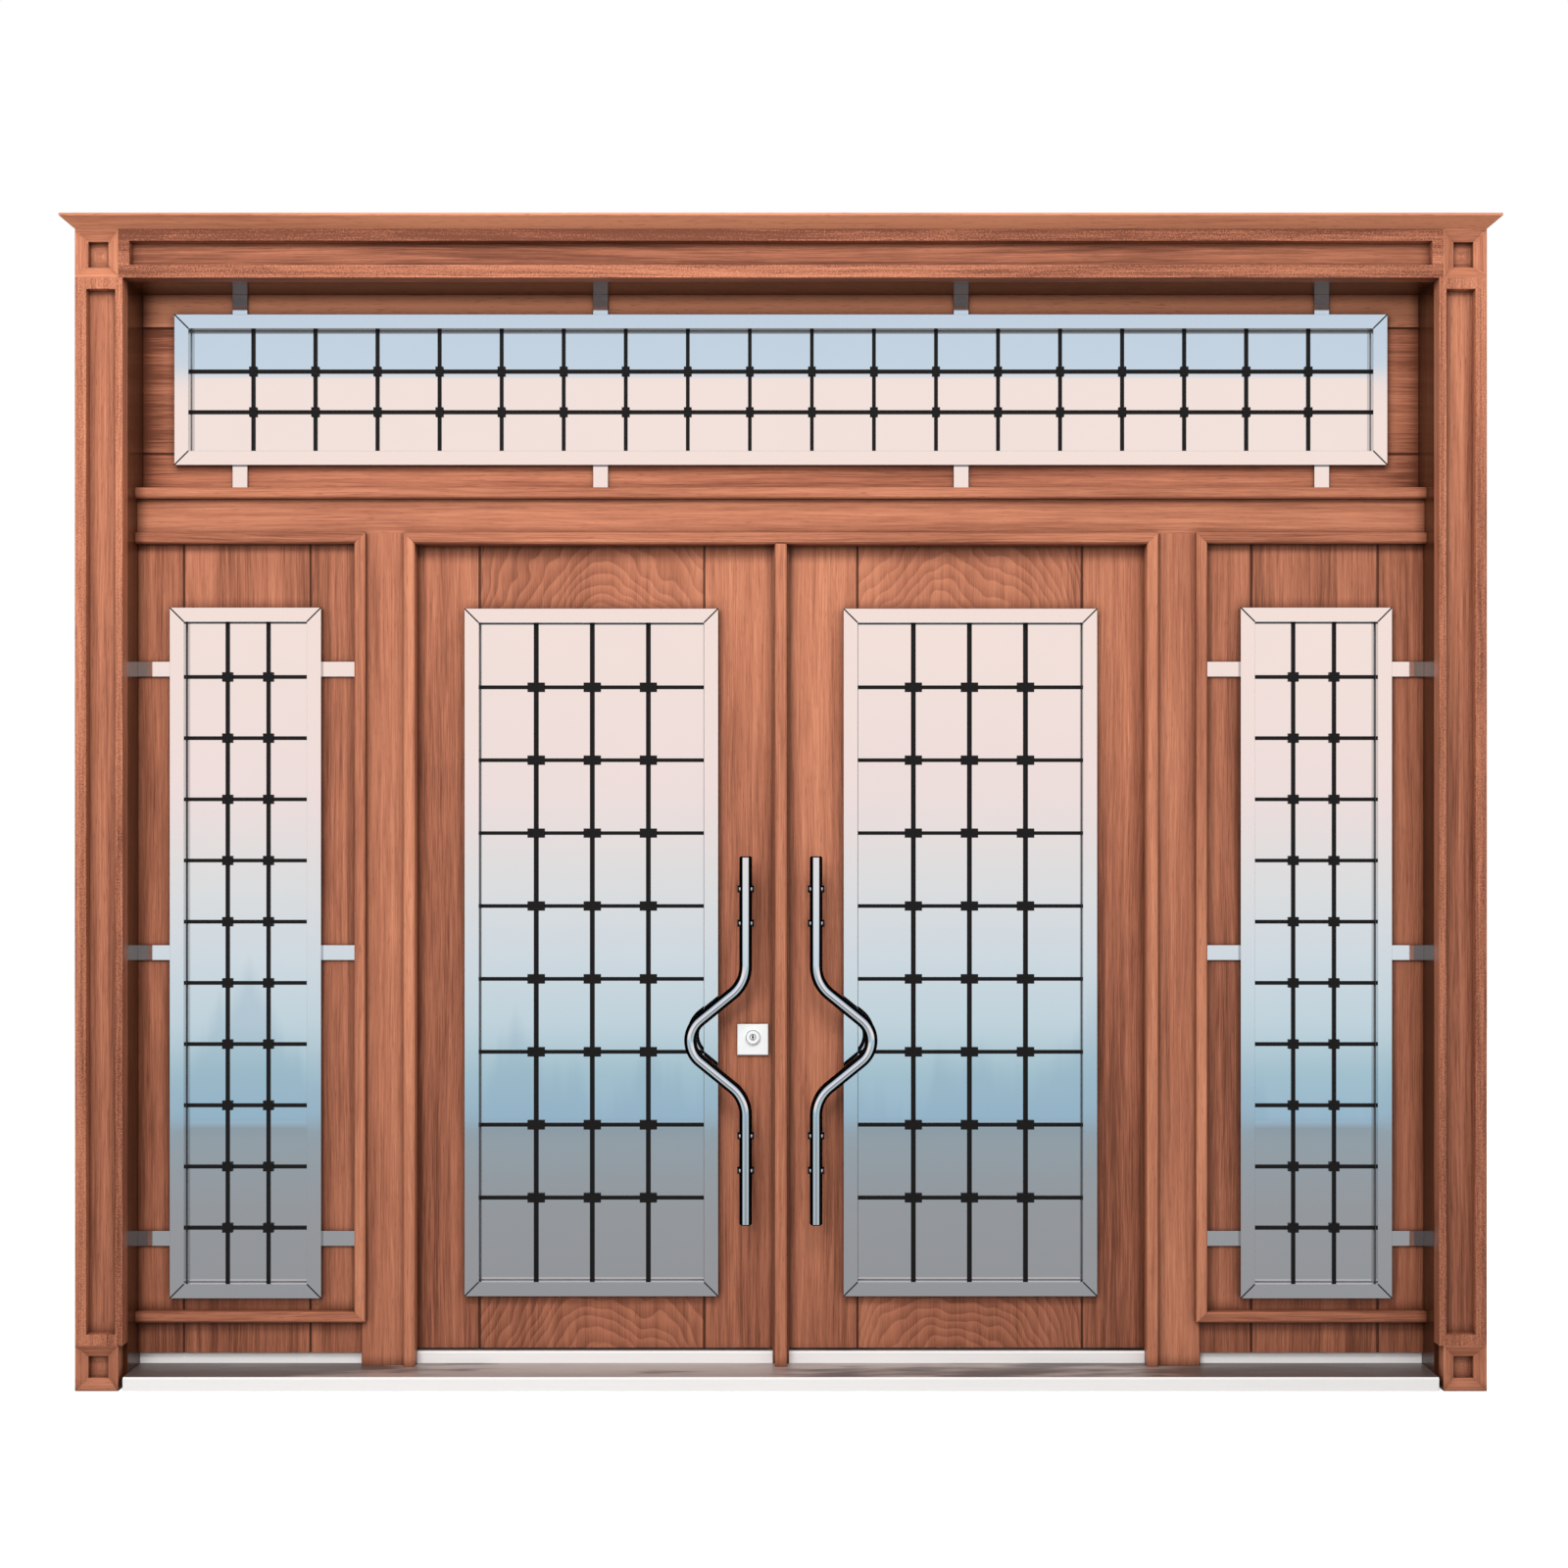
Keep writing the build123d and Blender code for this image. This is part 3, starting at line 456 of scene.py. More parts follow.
def leaf_shade(glass):
    """A leaf's lock stile is lighter than its hinge stile, its top rail is darker, and, as painted shade, it
    darkens downwards.
    """
    low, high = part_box(glass)
    inner, outer = sorted((abs(low.x), abs(high.x)))

    def shade(graph, x, y, z):
        # painted light and shade: lighter near the top and darker lower down, as the light falls off
        down = graph.remap(z, 2.0, 1.1, 0.06, -0.1, smooth=True)
        off_centre = graph.math("ABSOLUTE", x)
        across = graph.remap(off_centre, inner, outer, 0.08, -0.07)
        between = graph.math("COMPARE", off_centre, (inner + outer) / 2, (outer - inner) / 2 - PLANK_INSET)
        rail = graph.math("MULTIPLY", graph.math("GREATER_THAN", z, high.z), between)
        return graph.math("ADD", graph.math("MULTIPLY_ADD", rail, -0.1, down), across)
    return shade


def bead_shade(node):
    """A bead's head and foot are darker than its legs."""
    is_upright = bead_mitre(node)

    def shade(graph, x, y, z):
        return graph.remap(is_upright(graph, x, y, z), 0.0, 1.0, -0.14, 0.06)
    return shade


def downward_shade(top, bottom, change):
    """Painted shade: the print changes from one height down to another, as the light falls off downwards."""
    def shade(graph, x, y, z):
        return graph.remap(z, top, bottom, 0.0, change, smooth=True)
    return shade


def moulding_shade(graph, x, y, z):
    """The door moulding's head is darker than its legs."""
    return graph.remap(doorway_mitre(graph, x, y, z), 0.0, 1.0, -0.2, 0.08)


def dress_wood():
    for side, seed in (("left", 0.31), ("right", 1.83)):
        sign = -1 if side == "left" else 1
        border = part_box(f"{side}_pilaster")[0].y + BORDER_DEPTH
        # painted shade: the pilasters darken downwards
        shade = downward_shade(1.8, 0.8, -0.1)
        material = wood(f"{side}_pilaster_wood", upright(seed), lift=CASING_LIFT, rough_face=border, shade=shade)
        finish(f"{side}_pilaster", material)
        for block in ("plinth_block", "corner_block"):
            node = f"{side}_{block}"
            lay = mitred(seed + 0.2, tray_mitre(node))
            finish(node, wood(f"{node}_wood", lay, lift=CASING_LIFT + 0.1))
        # painted shade: the right jamb is printed darker than the left, to even out the light on the reveals
        jamb_painted_shade = 0.03 if side == "left" else -0.26
        finish(f"{side}_jamb", wood(f"{side}_jamb_wood", upright(seed + 0.5), DARK_WOOD_AND_SHADE, jamb_painted_shade, gloss=0.2))
        finish(f"{side}_mullion", wood(f"{side}_mullion_wood", upright(seed + 0.9), lift=0.07))
        bead = f"{side}_sidelight_bead"
        lay = mitred(seed + 1.1, bead_mitre(bead))
        finish(bead, wood(f"{bead}_wood", lay, lift=0.06, shade=bead_shade(bead)))
        panel = f"{side}_sidelight_panel"
        low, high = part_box(f"{side}_sidelight_glass")
        edges = (low.x + LIGHT_PLANK_INSET, high.x - LIGHT_PLANK_INSET)
        lines = dark_joints(edges, False)
        lay = planks(seed + 1.3, edges, False)
        finish(panel, wood(f"{panel}_wood", lay, lift=-0.07, joints=lines, shade=foot_shade(bead)))
        glass = f"{side}_leaf_glass"
        low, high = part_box(glass)
        edges = (low.x + PLANK_INSET, high.x - PLANK_INSET)
        lay = planks(seed + 1.7, edges, False)
        lines = dark_joints(edges, False)
        shade = leaf_shade(glass)
        figure = flame(glass, sign)
        finish(f"{side}_leaf", wood(f"{side}_leaf_wood", lay, figure=figure, joints=lines, shade=shade))
    finish("door_moulding", wood("door_moulding_wood", mitred(2.3, doorway_mitre), lift=0.14, shade=moulding_shade))
    finish("centre_post", wood("centre_post_wood", upright(2.9), lift=0.08))
    # painted shade: the head casing is printed darker, most of all on its upper border under the cornice
    shade = head_casing_shade(border)
    finish("head_casing", wood("head_casing_wood", level(3.3), lift=-0.08, rough_face=border, shade=shade))
    # painted light: the cornice's downward-facing slope is printed lighter than the rest of the casing
    finish("cornice", wood("cornice_wood", level(3.7), lift=0.46))
    # painted shade in part: the soffit takes the reveals' darker palette
    finish("head_jamb", wood("head_jamb_wood", level(4.1), DARK_WOOD_AND_SHADE, lift=0.1, gloss=0.2))
    finish("transom_rail", wood("transom_rail_wood", level(4.6), lift=0.06))
    finish("transom_bead", wood("transom_bead_wood", level(5.0), lift=0.02))
    low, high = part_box("transom_glass")
    edges = (low.z + LIGHT_PLANK_INSET, high.z - LIGHT_PLANK_INSET)
    lines = dark_joints(edges, True)
    lay = planks(5.4, edges, True)
    finish("transom_panel", wood("transom_panel_wood", lay, joints=lines, shade=transom_shade))


# Metal, glass and paint

BLACK_FINISH_AND_EDGE_REFLECTION = linear(62, 60, 60)
STEEL_BRUSH = (900.0, 900.0, 8.0)
SILL_BRUSH = (3.0, 260.0, 260.0)
SILL_SCUFF = (1.6, 9.0, 9.0)
LOCK_BRUSH = (30.0, 1.0, 1400.0)
WORN_SHARE = 0.96


def steel(name, colour, rough_low, rough_high, edge=1.0, blackened=None):
    """Stainless steel with a fine brush along Z and faint smears. edge is how bright it stays at a
    glancing angle, and blackened(graph, x, z) gives the share that is black, which on the handles also paints the
    dark reflection along their edges."""
    material, graph, shader = new_material(name)
    x, y, z = object_axes(graph)
    brush = graph.noise(graph.scaled((x, y, z), STEEL_BRUSH))
    smear = graph.noise(graph.vector(x, y, z), scale=9.0, detail=3.0)
    rough = graph.math("MULTIPLY_ADD", smear, 0.5, graph.math("MULTIPLY", brush, 0.5))
    graph.put(shader.inputs["Roughness"], graph.remap(rough, 0.3, 0.7, rough_low, rough_high))
    worn = tuple(channel * WORN_SHARE for channel in colour[:3]) + (1.0,)
    base = graph.mix(brush, worn, colour)
    if blackened:
        base = graph.mix(blackened(graph, x, z), base, BLACK_FINISH_AND_EDGE_REFLECTION)
    graph.put(shader.inputs["Base Color"], base)
    shader.inputs["Metallic"].default_value = 1.0
    shader.inputs["Specular Tint"].default_value = (edge, edge, edge, 1.0)
    bevel = graph.node("ShaderNodeBevel", {"Radius": 0.001}, samples=4)
    bump = graph.node("ShaderNodeBump", {"Strength": 0.03, "Distance": 0.0002})
    graph.put(bump.inputs["Height"], brush)
    graph.put(bump.inputs["Normal"], bevel.outputs[0])
    graph.put(shader.inputs["Normal"], bump.outputs[0])
    return material


def handle_black(graph, x, z):
    """The black flanks of the pull handles, a two-tone finish that also paints the dark reflection along the tubes'
    edges, and the pins that stick out there.
    """
    normal = graph.axes(graph.node("ShaderNodeTexCoord").outputs["Normal"])
    flank = graph.remap(graph.math("ABSOLUTE", normal[1]), POLISHED_FROM, BLACK_FROM, smooth=True)
    off_axis = graph.math("ABSOLUTE", graph.math("SUBTRACT", graph.math("ABSOLUTE", x), HANDLE_X))
    outside = graph.math("GREATER_THAN", off_axis, HANDLE_RADIUS + PIN_CLEAR)
    near = [graph.math("COMPARE", z, height, PIN_REACH) for height in PIN_HEIGHTS]
    any_pin = near[0]
    for one in near[1:]:
        any_pin = graph.math("MAXIMUM", any_pin, one)
    return graph.math("MAXIMUM", flank, graph.math("MULTIPLY", outside, any_pin))


def mirror_glass():
    """Mirror-coated glass, with faint cloudy smears."""
    material, graph, shader = new_material("mirror_glass")
    x, y, z = object_axes(graph)
    cloud = graph.noise(graph.vector(x, y, z), scale=3.0, detail=4.0, roughness=0.6)
    colour = graph.mix(cloud, linear(246, 248, 249), linear(251, 252, 252))
    graph.put(shader.inputs["Base Color"], colour)
    graph.put(shader.inputs["Roughness"], graph.remap(cloud, 0.35, 0.7, 0.0, 0.004))
    shader.inputs["Metallic"].default_value = 1.0
    return material


def black_paint():
    """Black satin paint with a fine orange-peel skin."""
    material, graph, shader = new_material("black_grille")
    x, y, z = object_axes(graph)
    place = graph.vector(x, y, z)
    skin = graph.noise(place, scale=900.0, detail=1.0)
    patch = graph.noise(place, scale=14.0, detail=3.0)
    graph.put(shader.inputs["Base Color"], graph.mix(patch, linear(9, 8, 8), linear(24, 20, 18)))
    graph.put(shader.inputs["Roughness"], graph.remap(patch, 0.3, 0.7, 0.38, 0.5))
    shader.inputs["Specular IOR Level"].default_value = 0.25
    bevel = graph.node("ShaderNodeBevel", {"Radius": 0.0006}, samples=4)
    bump = graph.node("ShaderNodeBump", {"Strength": 0.15, "Distance": 0.0002})
    graph.put(bump.inputs["Height"], skin)
    graph.put(bump.inputs["Normal"], bevel.outputs[0])
    graph.put(shader.inputs["Normal"], bump.outputs[0])
    return material


def rubber(name, darker, lighter):
    """Rubber with a faint bloom."""
    material, graph, shader = new_material(name)
    x, y, z = object_axes(graph)
    bloom = graph.noise(graph.vector(x, y, z), scale=60.0, detail=3.0)
    graph.put(shader.inputs["Base Color"], graph.mix(bloom, darker, lighter))
    graph.put(shader.inputs["Roughness"], graph.remap(bloom, 0.3, 0.7, 0.6, 0.75))
    return material


def sealant():
    """Grey sealant, a little wavy."""
    material, graph, shader = new_material("grey_sealant")
    x, y, z = object_axes(graph)
    wave = graph.noise(graph.vector(x, y, z), scale=40.0, detail=2.0)
    graph.put(shader.inputs["Base Color"], graph.mix(wave, linear(104, 106, 108), linear(134, 136, 138)))
    graph.put(shader.inputs["Roughness"], graph.remap(wave, 0.3, 0.7, 0.35, 0.5))
    return material


def lock_metal():
    """Pale satin chrome of the lock's outside plate and cylinder."""
    material, graph, shader = new_material("lock_chrome")
    x, y, z = object_axes(graph)
    brush = graph.noise(graph.scaled((x, y, z), LOCK_BRUSH))
    graph.put(shader.inputs["Base Color"], graph.mix(brush, linear(248, 251, 251), linear(254, 255, 255)))
    graph.put(shader.inputs["Roughness"], graph.remap(brush, 0.3, 0.7, 0.14, 0.24))
    shader.inputs["Metallic"].default_value = 0.15
    bevel = graph.node("ShaderNodeBevel", {"Radius": 0.0008}, samples=4)
    graph.put(shader.inputs["Normal"], bevel.outputs[0])
    return material


def sill_metal():
    """Pale brushed steel of the threshold. Its tread is printed darker than its upright faces, as painted shade,
    with scuffs along it, and darker still towards its ends, as painted shade beside the jambs.
    """
    material, graph, shader = new_material("sill_steel")
    x, y, z = object_axes(graph)
    brush = graph.noise(graph.scaled((x, y, z), SILL_BRUSH), detail=3.0)
    scuff = graph.noise(graph.scaled((x, y, z), SILL_SCUFF), scale=1.5, detail=3.0, roughness=0.6)
    # painted shade: more of the tread is darkened towards its ends, beside the jambs
    outward = graph.remap(graph.math("ABSOLUTE", x), 0.9, 1.3, 0.0, 0.3, smooth=True)
    worn = graph.remap(graph.math("ADD", scuff, outward), 0.48, 0.66, smooth=True)
    colour = graph.mix(brush, linear(248, 246, 245), linear(254, 253, 252))
    # painted shade: the tread is darker than the upright faces of the same steel, with scuffs of wear
    tread_shade_and_scuffs = graph.mix(worn, linear(166, 149, 144), linear(98, 85, 81))
    normal = graph.axes(graph.node("ShaderNodeTexCoord").outputs["Normal"])
    tread = graph.math("GREATER_THAN", normal[2], 0.9)
    graph.put(shader.inputs["Base Color"], graph.mix(tread, colour, tread_shade_and_scuffs))
    graph.put(shader.inputs["Roughness"], graph.remap(scuff, 0.3, 0.7, 0.28, 0.45))
    shader.inputs["Metallic"].default_value = 0.05
    bevel = graph.node("ShaderNodeBevel", {"Radius": 0.0015}, samples=4)
    graph.put(shader.inputs["Normal"], bevel.outputs[0])
    return material


FRAME_STEEL = steel("frame_steel", linear(252, 252, 252), 0.03, 0.07, edge=0.6)
HANDLE_STEEL = steel("handle_steel", linear(250, 251, 252), 0.03, 0.08, edge=0.0, blackened=handle_black)
FITTING_STEEL = steel("fitting_steel", linear(230, 231, 233), 0.16, 0.28)
LOCK_STEEL = lock_metal()
MIRROR = mirror_glass()
BLACK = black_paint()
# black rubber of the seals, also used for pieces of painted shade
BLACK_RUBBER_AND_SHADE = rubber("seal_rubber_and_shade", linear(20, 19, 19), linear(38, 36, 35))
GASKET = rubber("gasket_rubber", linear(58, 59, 61), linear(84, 86, 89))
SEALANT = sealant()


def dress_metal():
    for light in ("left_leaf", "right_leaf", "left_sidelight", "right_sidelight", "transom"):
        finish(f"{light}_glass", MIRROR)
        finish(f"{light}_glass_frame", FRAME_STEEL)
        finish(f"{light}_grille", BLACK)
    for node in ("left_sidelight_straps", "right_sidelight_straps", "transom_straps"):
        finish(node, FRAME_STEEL)
    for side in ("left", "right"):
        finish(f"{side}_pull_handle", HANDLE_STEEL)
        finish(f"{side}_hinge_pins", FITTING_STEEL)
        finish(f"{side}_hinge_knuckles", FITTING_STEEL)
    finish("inside_lever", FITTING_STEEL)
    finish("lock_plate", LOCK_STEEL)
    finish("lock_cylinder", LOCK_STEEL)
    finish("threshold", sill_metal())


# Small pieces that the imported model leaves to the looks

def add_piece(name, mesh_data, material, body):
    bmesh.ops.recalc_face_normals(mesh_data, faces=mesh_data.faces)
    mesh = bpy.data.meshes.new(name)
    mesh_data.to_mesh(mesh)
    mesh_data.free()
    piece = bpy.data.objects.new(name, mesh)
    bpy.context.scene.collection.objects.link(piece)
    mesh.materials.append(material)
    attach(piece, body)


def add_bar(mesh_data, start, end, width, thick, normal):
    """A slim bar between two points, as wide as given across and as thick along the normal."""
    along = (end - start).normalized()
    across = along.cross(normal).normalized()
    place = Matrix((along, across, normal)).transposed().to_4x4()
    place.translation = (start + end) / 2
    size = Matrix.Diagonal(((end - start).length, width, thick, 1.0))
    bmesh.ops.create_cube(mesh_data, size=1.0, matrix=place @ size)


def add_screw(mesh_data, centre, facing):
    """A pan-head screw with a hexagon socket, seated on a face that looks along the given axis."""
    steps = 24
    turned = facing.to_track_quat("Z", "Y").to_matrix()
    rings = []
    for share, rise in ((1.0, 0.0), (1.0, 0.55), (0.8, 1.0), (None, 1.0), (None, 0.1)):
        ring = []
        for step in range(steps):
            turn = 2 * math.pi * step / steps
            to_flat = turn % (math.pi / 3) - math.pi / 6
            radius = SOCKET_HALF / math.cos(to_flat) if share is None else SCREW_RADIUS * share
            place = Vector((radius * math.cos(turn), radius * math.sin(turn), SCREW_RISE * rise))
            ring.append(mesh_data.verts.new(centre + turned @ place))
        rings.append(ring)
    for outer, inner in zip(rings, rings[1:]):
        for step in range(steps):
            after = (step + 1) % steps
            mesh_data.faces.new((outer[step], outer[after], inner[after], inner[step]))
    mesh_data.faces.new(rings[-1])


def mitre_seams(light, body):
    """Dark hairlines where the bars of a glass frame meet, on both faces."""
    low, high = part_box(f"{light}_glass_frame")
    seams = bmesh.new()
    face = GLASS_FRAME_FACE
    for y, facing in ((low.y, -1.0), (high.y, 1.0)):
        for x, inward_x in ((low.x, face), (high.x, -face)):
            for z, inward_z in ((low.z, face), (high.z, -face)):
                start = Vector((x, y, z))
                end = Vector((x + inward_x, y, z + inward_z))
                add_bar(seams, start, end, SEAM_WIDTH, SEAM_THICK, Vector((0.0, facing, 0.0)))
    add_piece(f"{light}_mitre_seams", seams, BLACK_RUBBER_AND_SHADE, body)


def glazing_gaskets(light, body):
    """Grey gaskets on the upright inner faces of a glass frame."""
    low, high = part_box(f"{light}_glass_frame")
    glass_low, glass_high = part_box(f"{light}_glass")
    left, right = low.x + GLASS_FRAME_FACE, high.x - GLASS_FRAME_FACE
    bottom, top = low.z + GLASS_FRAME_FACE, high.z - GLASS_FRAME_FACE
    half = GASKET_THICK / 2
    gaskets = bmesh.new()
    for y in (glass_low.y - GASKET_WIDTH / 2, glass_high.y + GASKET_WIDTH / 2):
        for x, normal in ((left + half, 1.0), (right - half, -1.0)):
            start, end = Vector((x, y, bottom)), Vector((x, y, top))
            add_bar(gaskets, start, end, GASKET_WIDTH, GASKET_THICK, Vector((normal, 0.0, 0.0)))
    add_piece(f"{light}_glazing_gaskets", gaskets, GASKET, body)


def glazing_seals(light, body):
    """A grey line of sealant where the glass meets its frame, on both faces."""
    low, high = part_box(f"{light}_glass_frame")
    glass_low, glass_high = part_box(f"{light}_glass")
    inset = GLASS_FRAME_FACE + SEALANT_WIDTH / 2
    left, right = low.x + inset, high.x - inset
    bottom, top = low.z + inset, high.z - inset
    corners = [(left, bottom), (right, bottom), (right, top), (left, top)]
    seals = bmesh.new()
    for y, facing in ((glass_low.y, -1.0), (glass_high.y, 1.0)):
        for (x0, z0), (x1, z1) in zip(corners, corners[1:] + corners[:1]):
            start, end = Vector((x0, y, z0)), Vector((x1, y, z1))
            add_bar(seals, start, end, SEALANT_WIDTH, SEAM_THICK, Vector((0.0, facing, 0.0)))
    add_piece(f"{light}_glazing_seals", seals, SEALANT, body)


def hinge_screws(side, sign):
    """Four screws in each hinge plate, on the leaf and on the mullion."""
    leaf_low, leaf_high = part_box(f"{side}_leaf")
    first, last = leaf_low.z + HINGE_END, leaf_high.z - HINGE_END
    centres = [first + (last - first) * k / (HINGE_COUNT - 1) for k in range(HINGE_COUNT)]
    y = leaf_high.y + HINGE_PLATE_THICK
    for node, body, outward, half in (
        (f"{side}_hinge_knuckles", f"{side}_leaf", -sign, 1), (f"{side}_hinge_pins", "frame", sign, -1)
    ):
        low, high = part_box(node)
        end = high.x if outward > 0 else low.x
        screws = bmesh.new()
        for centre in centres:
            for inset in SCREW_INSETS:
                for rise in SCREW_RISES:
                    place = Vector((end - outward * inset, y, centre + half * rise))
                    add_screw(screws, place, Vector((0.0, 1.0, 0.0)))
        add_piece(f"{node}_screws", screws, FITTING_STEEL, body)


def lever_plate_details():
    """Screws at the ends of the inside plate, and the keyhole under the lever, drawn as painted shade."""
    low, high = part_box("lock_plate")
    leaf_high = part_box("left_leaf")[1]
    lever_low, lever_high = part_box("inside_lever")
    x = (low.x + high.x) / 2
    y = leaf_high.y + (high.y - low.y)
    inward = Vector((0.0, 1.0, 0.0))
    screws = bmesh.new()
    for z in (lever_low.z + PLATE_SCREW_INSET, lever_high.z - PLATE_SCREW_INSET):
        add_screw(screws, Vector((x, y, z)), inward)
    add_piece("lever_plate_screws", screws, FITTING_STEEL, "left_leaf")
    add_keyhole_shade("inside_keyhole_shade", Vector((x, y, lever_low.z + INSIDE_KEYHOLE_RISE)), inward)


def add_keyhole_shade(name, centre, facing):
    """Painted shade of a keyhole: a black round with a slot below and above."""
    way = bmesh.new()
    turn = Matrix.Translation(centre) @ facing.to_track_quat("Z", "Y").to_matrix().to_4x4()
    bmesh.ops.create_cone(
        way, cap_ends=True, segments=24, depth=SEAM_THICK, matrix=turn,
        radius1=KEYHOLE_RADIUS, radius2=KEYHOLE_RADIUS,
    )
    drop = Vector((0.0, 0.0, KEYHOLE_DROP))
    add_bar(way, centre + drop, centre - drop, KEYHOLE_RADIUS, SEAM_THICK, facing)
    add_piece(name, way, BLACK_RUBBER_AND_SHADE, "left_leaf")


def add_ring(mesh_data, centre, inner, outer, facing):
    """A thin flat ring on a face."""
    steps = 48
    turned = facing.to_track_quat("Z", "Y").to_matrix()
    rims = []
    for radius, rise in ((inner, 0.0), (inner, SEAM_THICK), (outer, SEAM_THICK), (outer, 0.0)):
        angles = [2 * math.pi * step / steps for step in range(steps)]
        places = [Vector((radius * math.cos(turn), radius * math.sin(turn), rise)) for turn in angles]
        rims.append([mesh_data.verts.new(centre + turned @ place) for place in places])
    for one, other in zip(rims, rims[1:] + rims[:1]):
        for step in range(steps):
            after = (step + 1) % steps
            mesh_data.faces.new((one[step], one[after], other[after], other[step]))


def lock_rings():
    """Grey lines round the lock's cylinder and round the part of it that turns."""
    low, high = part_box("lock_cylinder")
    radius = (high.x - low.x) / 2
    centre = Vector(((low.x + high.x) / 2, low.y, (low.z + high.z) / 2))
    rings = bmesh.new()
    for outer, width in ((radius - RING_INSET, RING_WIDTH), (ROTOR_RADIUS, ROTOR_RING_WIDTH)):
        add_ring(rings, centre, outer - width, outer, Vector((0.0, -1.0, 0.0)))
    add_piece("lock_rings", rings, SEALANT, "left_leaf")


def lock_edge_plates():
    """The lock's edge plate on the left leaf and the strike plate that faces it, each with two openings drawn as
    black bars of painted shade.
    """
    low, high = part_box("lock_plate")
    centre_z = (low.z + high.z) / 2
    for side, sign in (("left", 1.0), ("right", -1.0)):
        leaf_low, leaf_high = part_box(f"{side}_leaf")
        x = leaf_high.x if side == "left" else leaf_low.x
        y = (leaf_low.y + leaf_high.y) / 2
        out = Vector((sign, 0.0, 0.0))
        half = Vector((0.0, 0.0, EDGE_PLATE_HALF))
        middle = Vector((x, y, centre_z)) + out * EDGE_PLATE_THICK / 2
        plate = bmesh.new()
        add_bar(plate, middle - half, middle + half, EDGE_PLATE_WIDTH, EDGE_PLATE_THICK, out)
        face = middle + out * EDGE_PLATE_THICK / 2
        for rise in (-1.0, 1.0):
            add_screw(plate, face + half * rise * EDGE_SCREW_SHARE, out)
        add_piece(f"{side}_lock_edge_plate", plate, FITTING_STEEL, f"{side}_leaf")
        # painted shade: black bars where the bolts' openings are
        openings = bmesh.new()
        for rise, length in BOLT_OPENINGS:
            spot = face + half * rise
            reach = Vector((0.0, 0.0, length / 2))
            add_bar(openings, spot - reach, spot + reach, BOLT_WIDTH, SEAM_THICK, out)
        add_piece(f"{side}_bolt_opening_shade", openings, BLACK_RUBBER_AND_SHADE, f"{side}_leaf")


def weather_seals():
    """Black seals on the stops that the leaves close on."""
    post_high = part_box("centre_post")[1]
    leaf_low, leaf_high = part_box("right_leaf")
    y = post_high.y + SEAL_THICK / 2
    top = leaf_high.z - SEAL_INSET
    back = Vector((0.0, 1.0, 0.0))
    seals = bmesh.new()
    side_x = leaf_high.x - SEAL_INSET
    post_x = (leaf_low.x + post_high.x) / 2
    for x in (-side_x, -post_x, post_x, side_x):
        add_bar(seals, Vector((x, y, leaf_low.z)), Vector((x, y, top)), SEAL_WIDTH, SEAL_THICK, back)
    add_bar(seals, Vector((-side_x, y, top)), Vector((side_x, y, top)), SEAL_WIDTH, SEAL_THICK, back)
    add_piece("weather_seals", seals, BLACK_RUBBER_AND_SHADE, "frame")


def dress_small():
    low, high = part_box("lock_cylinder")
    # painted shade: a black round at the bottom of the cylinder's keyhole
    bottom = Vector(((low.x + high.x) / 2, low.y + KEYHOLE_DEPTH - SEAM_THICK, (low.z + high.z) / 2))
    add_keyhole_shade("keyhole_shade", bottom, Vector((0.0, -1.0, 0.0)))
    lock_rings()
    lever_plate_details()
    lock_edge_plates()
    weather_seals()
    hinge_screws("left", -1)
    hinge_screws("right", 1)
    for light, body in (
        ("left_leaf", "left_leaf"), ("right_leaf", "right_leaf"), ("left_sidelight", "frame"),
        ("right_sidelight", "frame"), ("transom", "frame"),
    ):
        mitre_seams(light, body)
        glazing_seals(light, body)
        if light != "transom":
            glazing_gaskets(light, body)


# Stage, light and camera

def build_floor():
    mesh = bpy.data.meshes.new("floor")
    corners = [
        (-FLOOR_HALF, FLOOR_FRONT, 0.0), (FLOOR_HALF, FLOOR_FRONT, 0.0),
        (FLOOR_HALF, FLOOR_BACK, 0.0), (-FLOOR_HALF, FLOOR_BACK, 0.0),
    ]
    mesh.from_pydata(corners, [], [(0, 1, 2, 3)])
    floor = bpy.data.objects.new("floor", mesh)
    bpy.context.scene.collection.objects.link(floor)
    floor.location.z = -FLOOR_DROP
    material = bpy.data.materials.new("floor_white")
    material.use_nodes = True
    tree = material.node_tree
    tree.nodes.clear()
    graph = Graph(tree)
    path = graph.node("ShaderNodeLightPath")
    lit = graph.node("ShaderNodeBsdfDiffuse", {"Color": (0.8, 0.8, 0.8, 1.0)})
    glow = graph.node("ShaderNodeEmission", {"Color": (1.0, 1.0, 1.0, 1.0), "Strength": 0.62})
    white = graph.node("ShaderNodeAddShader")
    graph.put(white.inputs[0], lit.outputs[0])
    graph.put(white.inputs[1], glow.outputs[0])
    dull = graph.node("ShaderNodeBsdfDiffuse", {"Color": (0.40, 0.39, 0.38, 1.0)})
    shown = graph.node("ShaderNodeMixShader", {"Fac": path.outputs["Is Camera Ray"]})
    graph.put(shown.inputs[1], dull.outputs[0])
    graph.put(shown.inputs[2], white.outputs[0])
    output = graph.node("ShaderNodeOutputMaterial")
    graph.put(output.inputs["Surface"], shown.outputs[0])
    mesh.materials.append(material)
    floor.visible_glossy = False


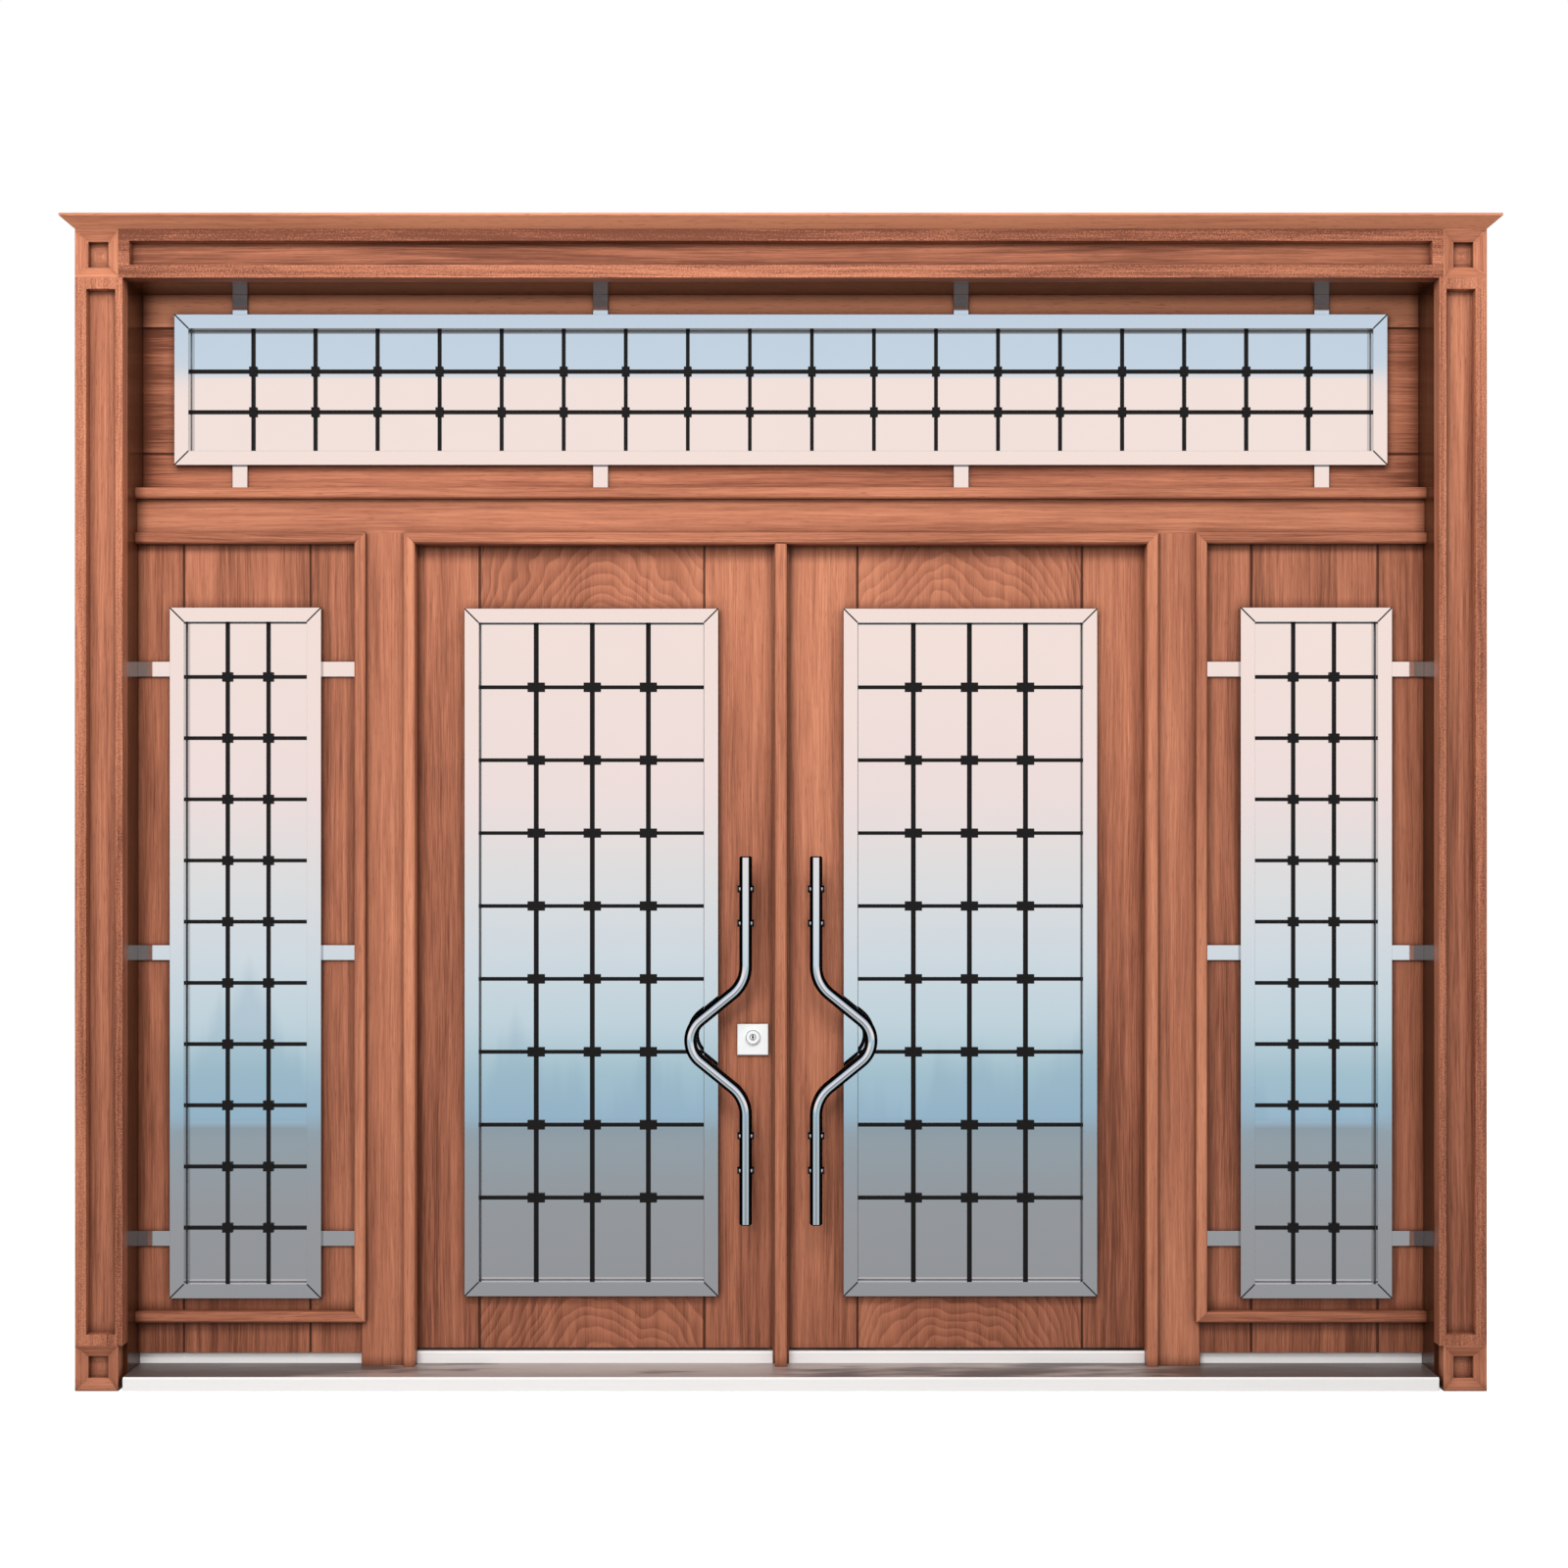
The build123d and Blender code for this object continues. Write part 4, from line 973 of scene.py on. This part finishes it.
# What the mirrors show, by degrees above the horizon
OUTLOOK = (
    (-18.0, linear(146, 145, 147)), (-11.0, linear(152, 154, 158)), (-8.9, linear(150, 162, 170)),
    (-8.5, linear(144, 158, 168)), (-8.3, linear(158, 187, 207)), (-7.0, linear(166, 195, 208)),
    (-5.6, linear(196, 214, 223)), (-3.6, linear(212, 221, 228)), (-1.7, linear(225, 225, 226)),
    (1.2, linear(244, 226, 223)), (5.0, linear(248, 228, 221)), (12.70, linear(249, 230, 223)),
    (12.85, linear(202, 216, 230)), (20.0, linear(182, 202, 222)),
)
OUTLOOK_LOW = -20.0
OUTLOOK_HIGH = 22.0
HORIZON = -8.3


def build_world():
    world = bpy.data.worlds.new("studio")
    bpy.context.scene.world = world
    world.use_nodes = True
    tree = world.node_tree
    tree.nodes.clear()
    graph = Graph(tree)
    direction = graph.node("ShaderNodeTexCoord").outputs["Generated"]
    x, y, z = graph.axes(direction)
    forward = graph.math("MULTIPLY", y, -1.0)
    rise = graph.math("ARCTAN2", z, graph.math("ABSOLUTE", y))
    elevation = graph.math("MULTIPLY", rise, 180 / math.pi)
    span = OUTLOOK_HIGH - OUTLOOK_LOW
    stops = [((degrees - OUTLOOK_LOW) / span, colour) for degrees, colour in OUTLOOK]
    first, last = stops[0], stops[-1]
    ordered = [first, last, *stops[1:-1]]
    view = graph.ramp(graph.remap(elevation, OUTLOOK_LOW, OUTLOOK_HIGH), ordered)
    bearing = graph.math("DIVIDE", x, graph.math("MAXIMUM", forward, 0.01))
    aside = graph.math("ABSOLUTE", bearing)
    # the ground is paler far out to the sides
    pale_ground = graph.math(
        "MULTIPLY", graph.remap(aside, 0.36, 0.44, smooth=True), graph.remap(elevation, -7.0, -9.0, smooth=True)
    )
    view = graph.mix(pale_ground, view, linear(178, 194, 203))
    # faint treetops stand on the horizon
    crowns = graph.noise(graph.vector(bearing, 0.0, 0.0), scale=9.0, detail=5.0, roughness=0.6)
    treetop = graph.remap(crowns, 0.42, 0.68, -8.4, -3.4)
    below = graph.remap(graph.math("SUBTRACT", treetop, elevation), -0.5, 0.9, smooth=True)
    trees = graph.math("MULTIPLY", below, graph.math("GREATER_THAN", elevation, HORIZON))
    view = graph.mix(graph.math("MULTIPLY", trees, 0.3), view, linear(138, 170, 190))
    # it is dark to the sides, and the room lies behind
    in_front = graph.remap(forward, 0.38, 0.52, smooth=True)
    behind = graph.remap(forward, 0.02, -0.10, smooth=True)
    room = graph.ramp(graph.remap(z, -0.5, 0.5), [
        (0.0, linear(150, 142, 136)), (1.0, linear(236, 236, 238)), (0.47, linear(176, 170, 166)),
        (0.53, linear(214, 212, 210)),
    ])
    around = graph.mix(behind, linear(24, 24, 26), room)
    outlook = graph.mix(in_front, around, view)
    path = graph.node("ShaderNodeLightPath")
    glossy = graph.node("ShaderNodeBackground", {"Color": outlook, "Strength": 1.0})
    soft = graph.node("ShaderNodeBackground", {"Color": (1.0, 0.985, 0.97, 1.0), "Strength": 0.62})
    white = graph.node("ShaderNodeBackground", {"Color": (1.0, 1.0, 1.0, 1.0), "Strength": 1.0})
    lighting = graph.node("ShaderNodeMixShader", {"Fac": path.outputs["Is Glossy Ray"]})
    graph.put(lighting.inputs[1], soft.outputs[0])
    graph.put(lighting.inputs[2], glossy.outputs[0])
    shown = graph.node("ShaderNodeMixShader", {"Fac": path.outputs["Is Camera Ray"]})
    graph.put(shown.inputs[1], lighting.outputs[0])
    graph.put(shown.inputs[2], white.outputs[0])
    output = graph.node("ShaderNodeOutputWorld")
    graph.put(output.inputs["Surface"], shown.outputs[0])


def add_lamp(name, place, aim, width, height, watts):
    lamp = bpy.data.lights.new(name, "AREA")
    lamp.shape = "RECTANGLE"
    lamp.size = width
    lamp.size_y = height
    lamp.energy = watts
    holder = bpy.data.objects.new(name, lamp)
    bpy.context.scene.collection.objects.link(holder)
    holder.location = place
    holder.rotation_euler = (Vector(aim) - Vector(place)).to_track_quat("-Z", "Y").to_euler()
    holder.visible_glossy = False


def build_camera():
    camera = bpy.data.cameras.new("camera")
    camera.sensor_width = SENSOR
    camera.lens = SENSOR * CAMERA_TO_CASING / PHOTO_WIDTH
    camera.shift_x = CAMERA_SHIFT_X
    camera.shift_y = CAMERA_SHIFT_Y
    holder = bpy.data.objects.new("camera", camera)
    bpy.context.scene.collection.objects.link(holder)
    holder.location = (0.0, CASING_FRONT - CAMERA_TO_CASING, CAMERA_HEIGHT)
    holder.rotation_euler = (math.radians(90), 0.0, 0.0)
    bpy.context.scene.camera = holder


dress_wood()
dress_metal()
dress_small()
build_floor()
build_world()
add_lamp("key", (-0.3, -3.8, 4.9), (0.0, 0.0, 2.3), 4.0, 1.5, 180.0)
add_lamp("fill", (-2.4, -5.6, 3.2), (0.0, 0.0, 2.2), 2.0, 1.5, 105.0)
add_lamp("room", (0.5, 4.5, 4.0), (0.0, 0.0, 1.4), 3.0, 2.0, 150.0)
build_camera()
bpy.context.scene.view_settings.view_transform = "Standard"
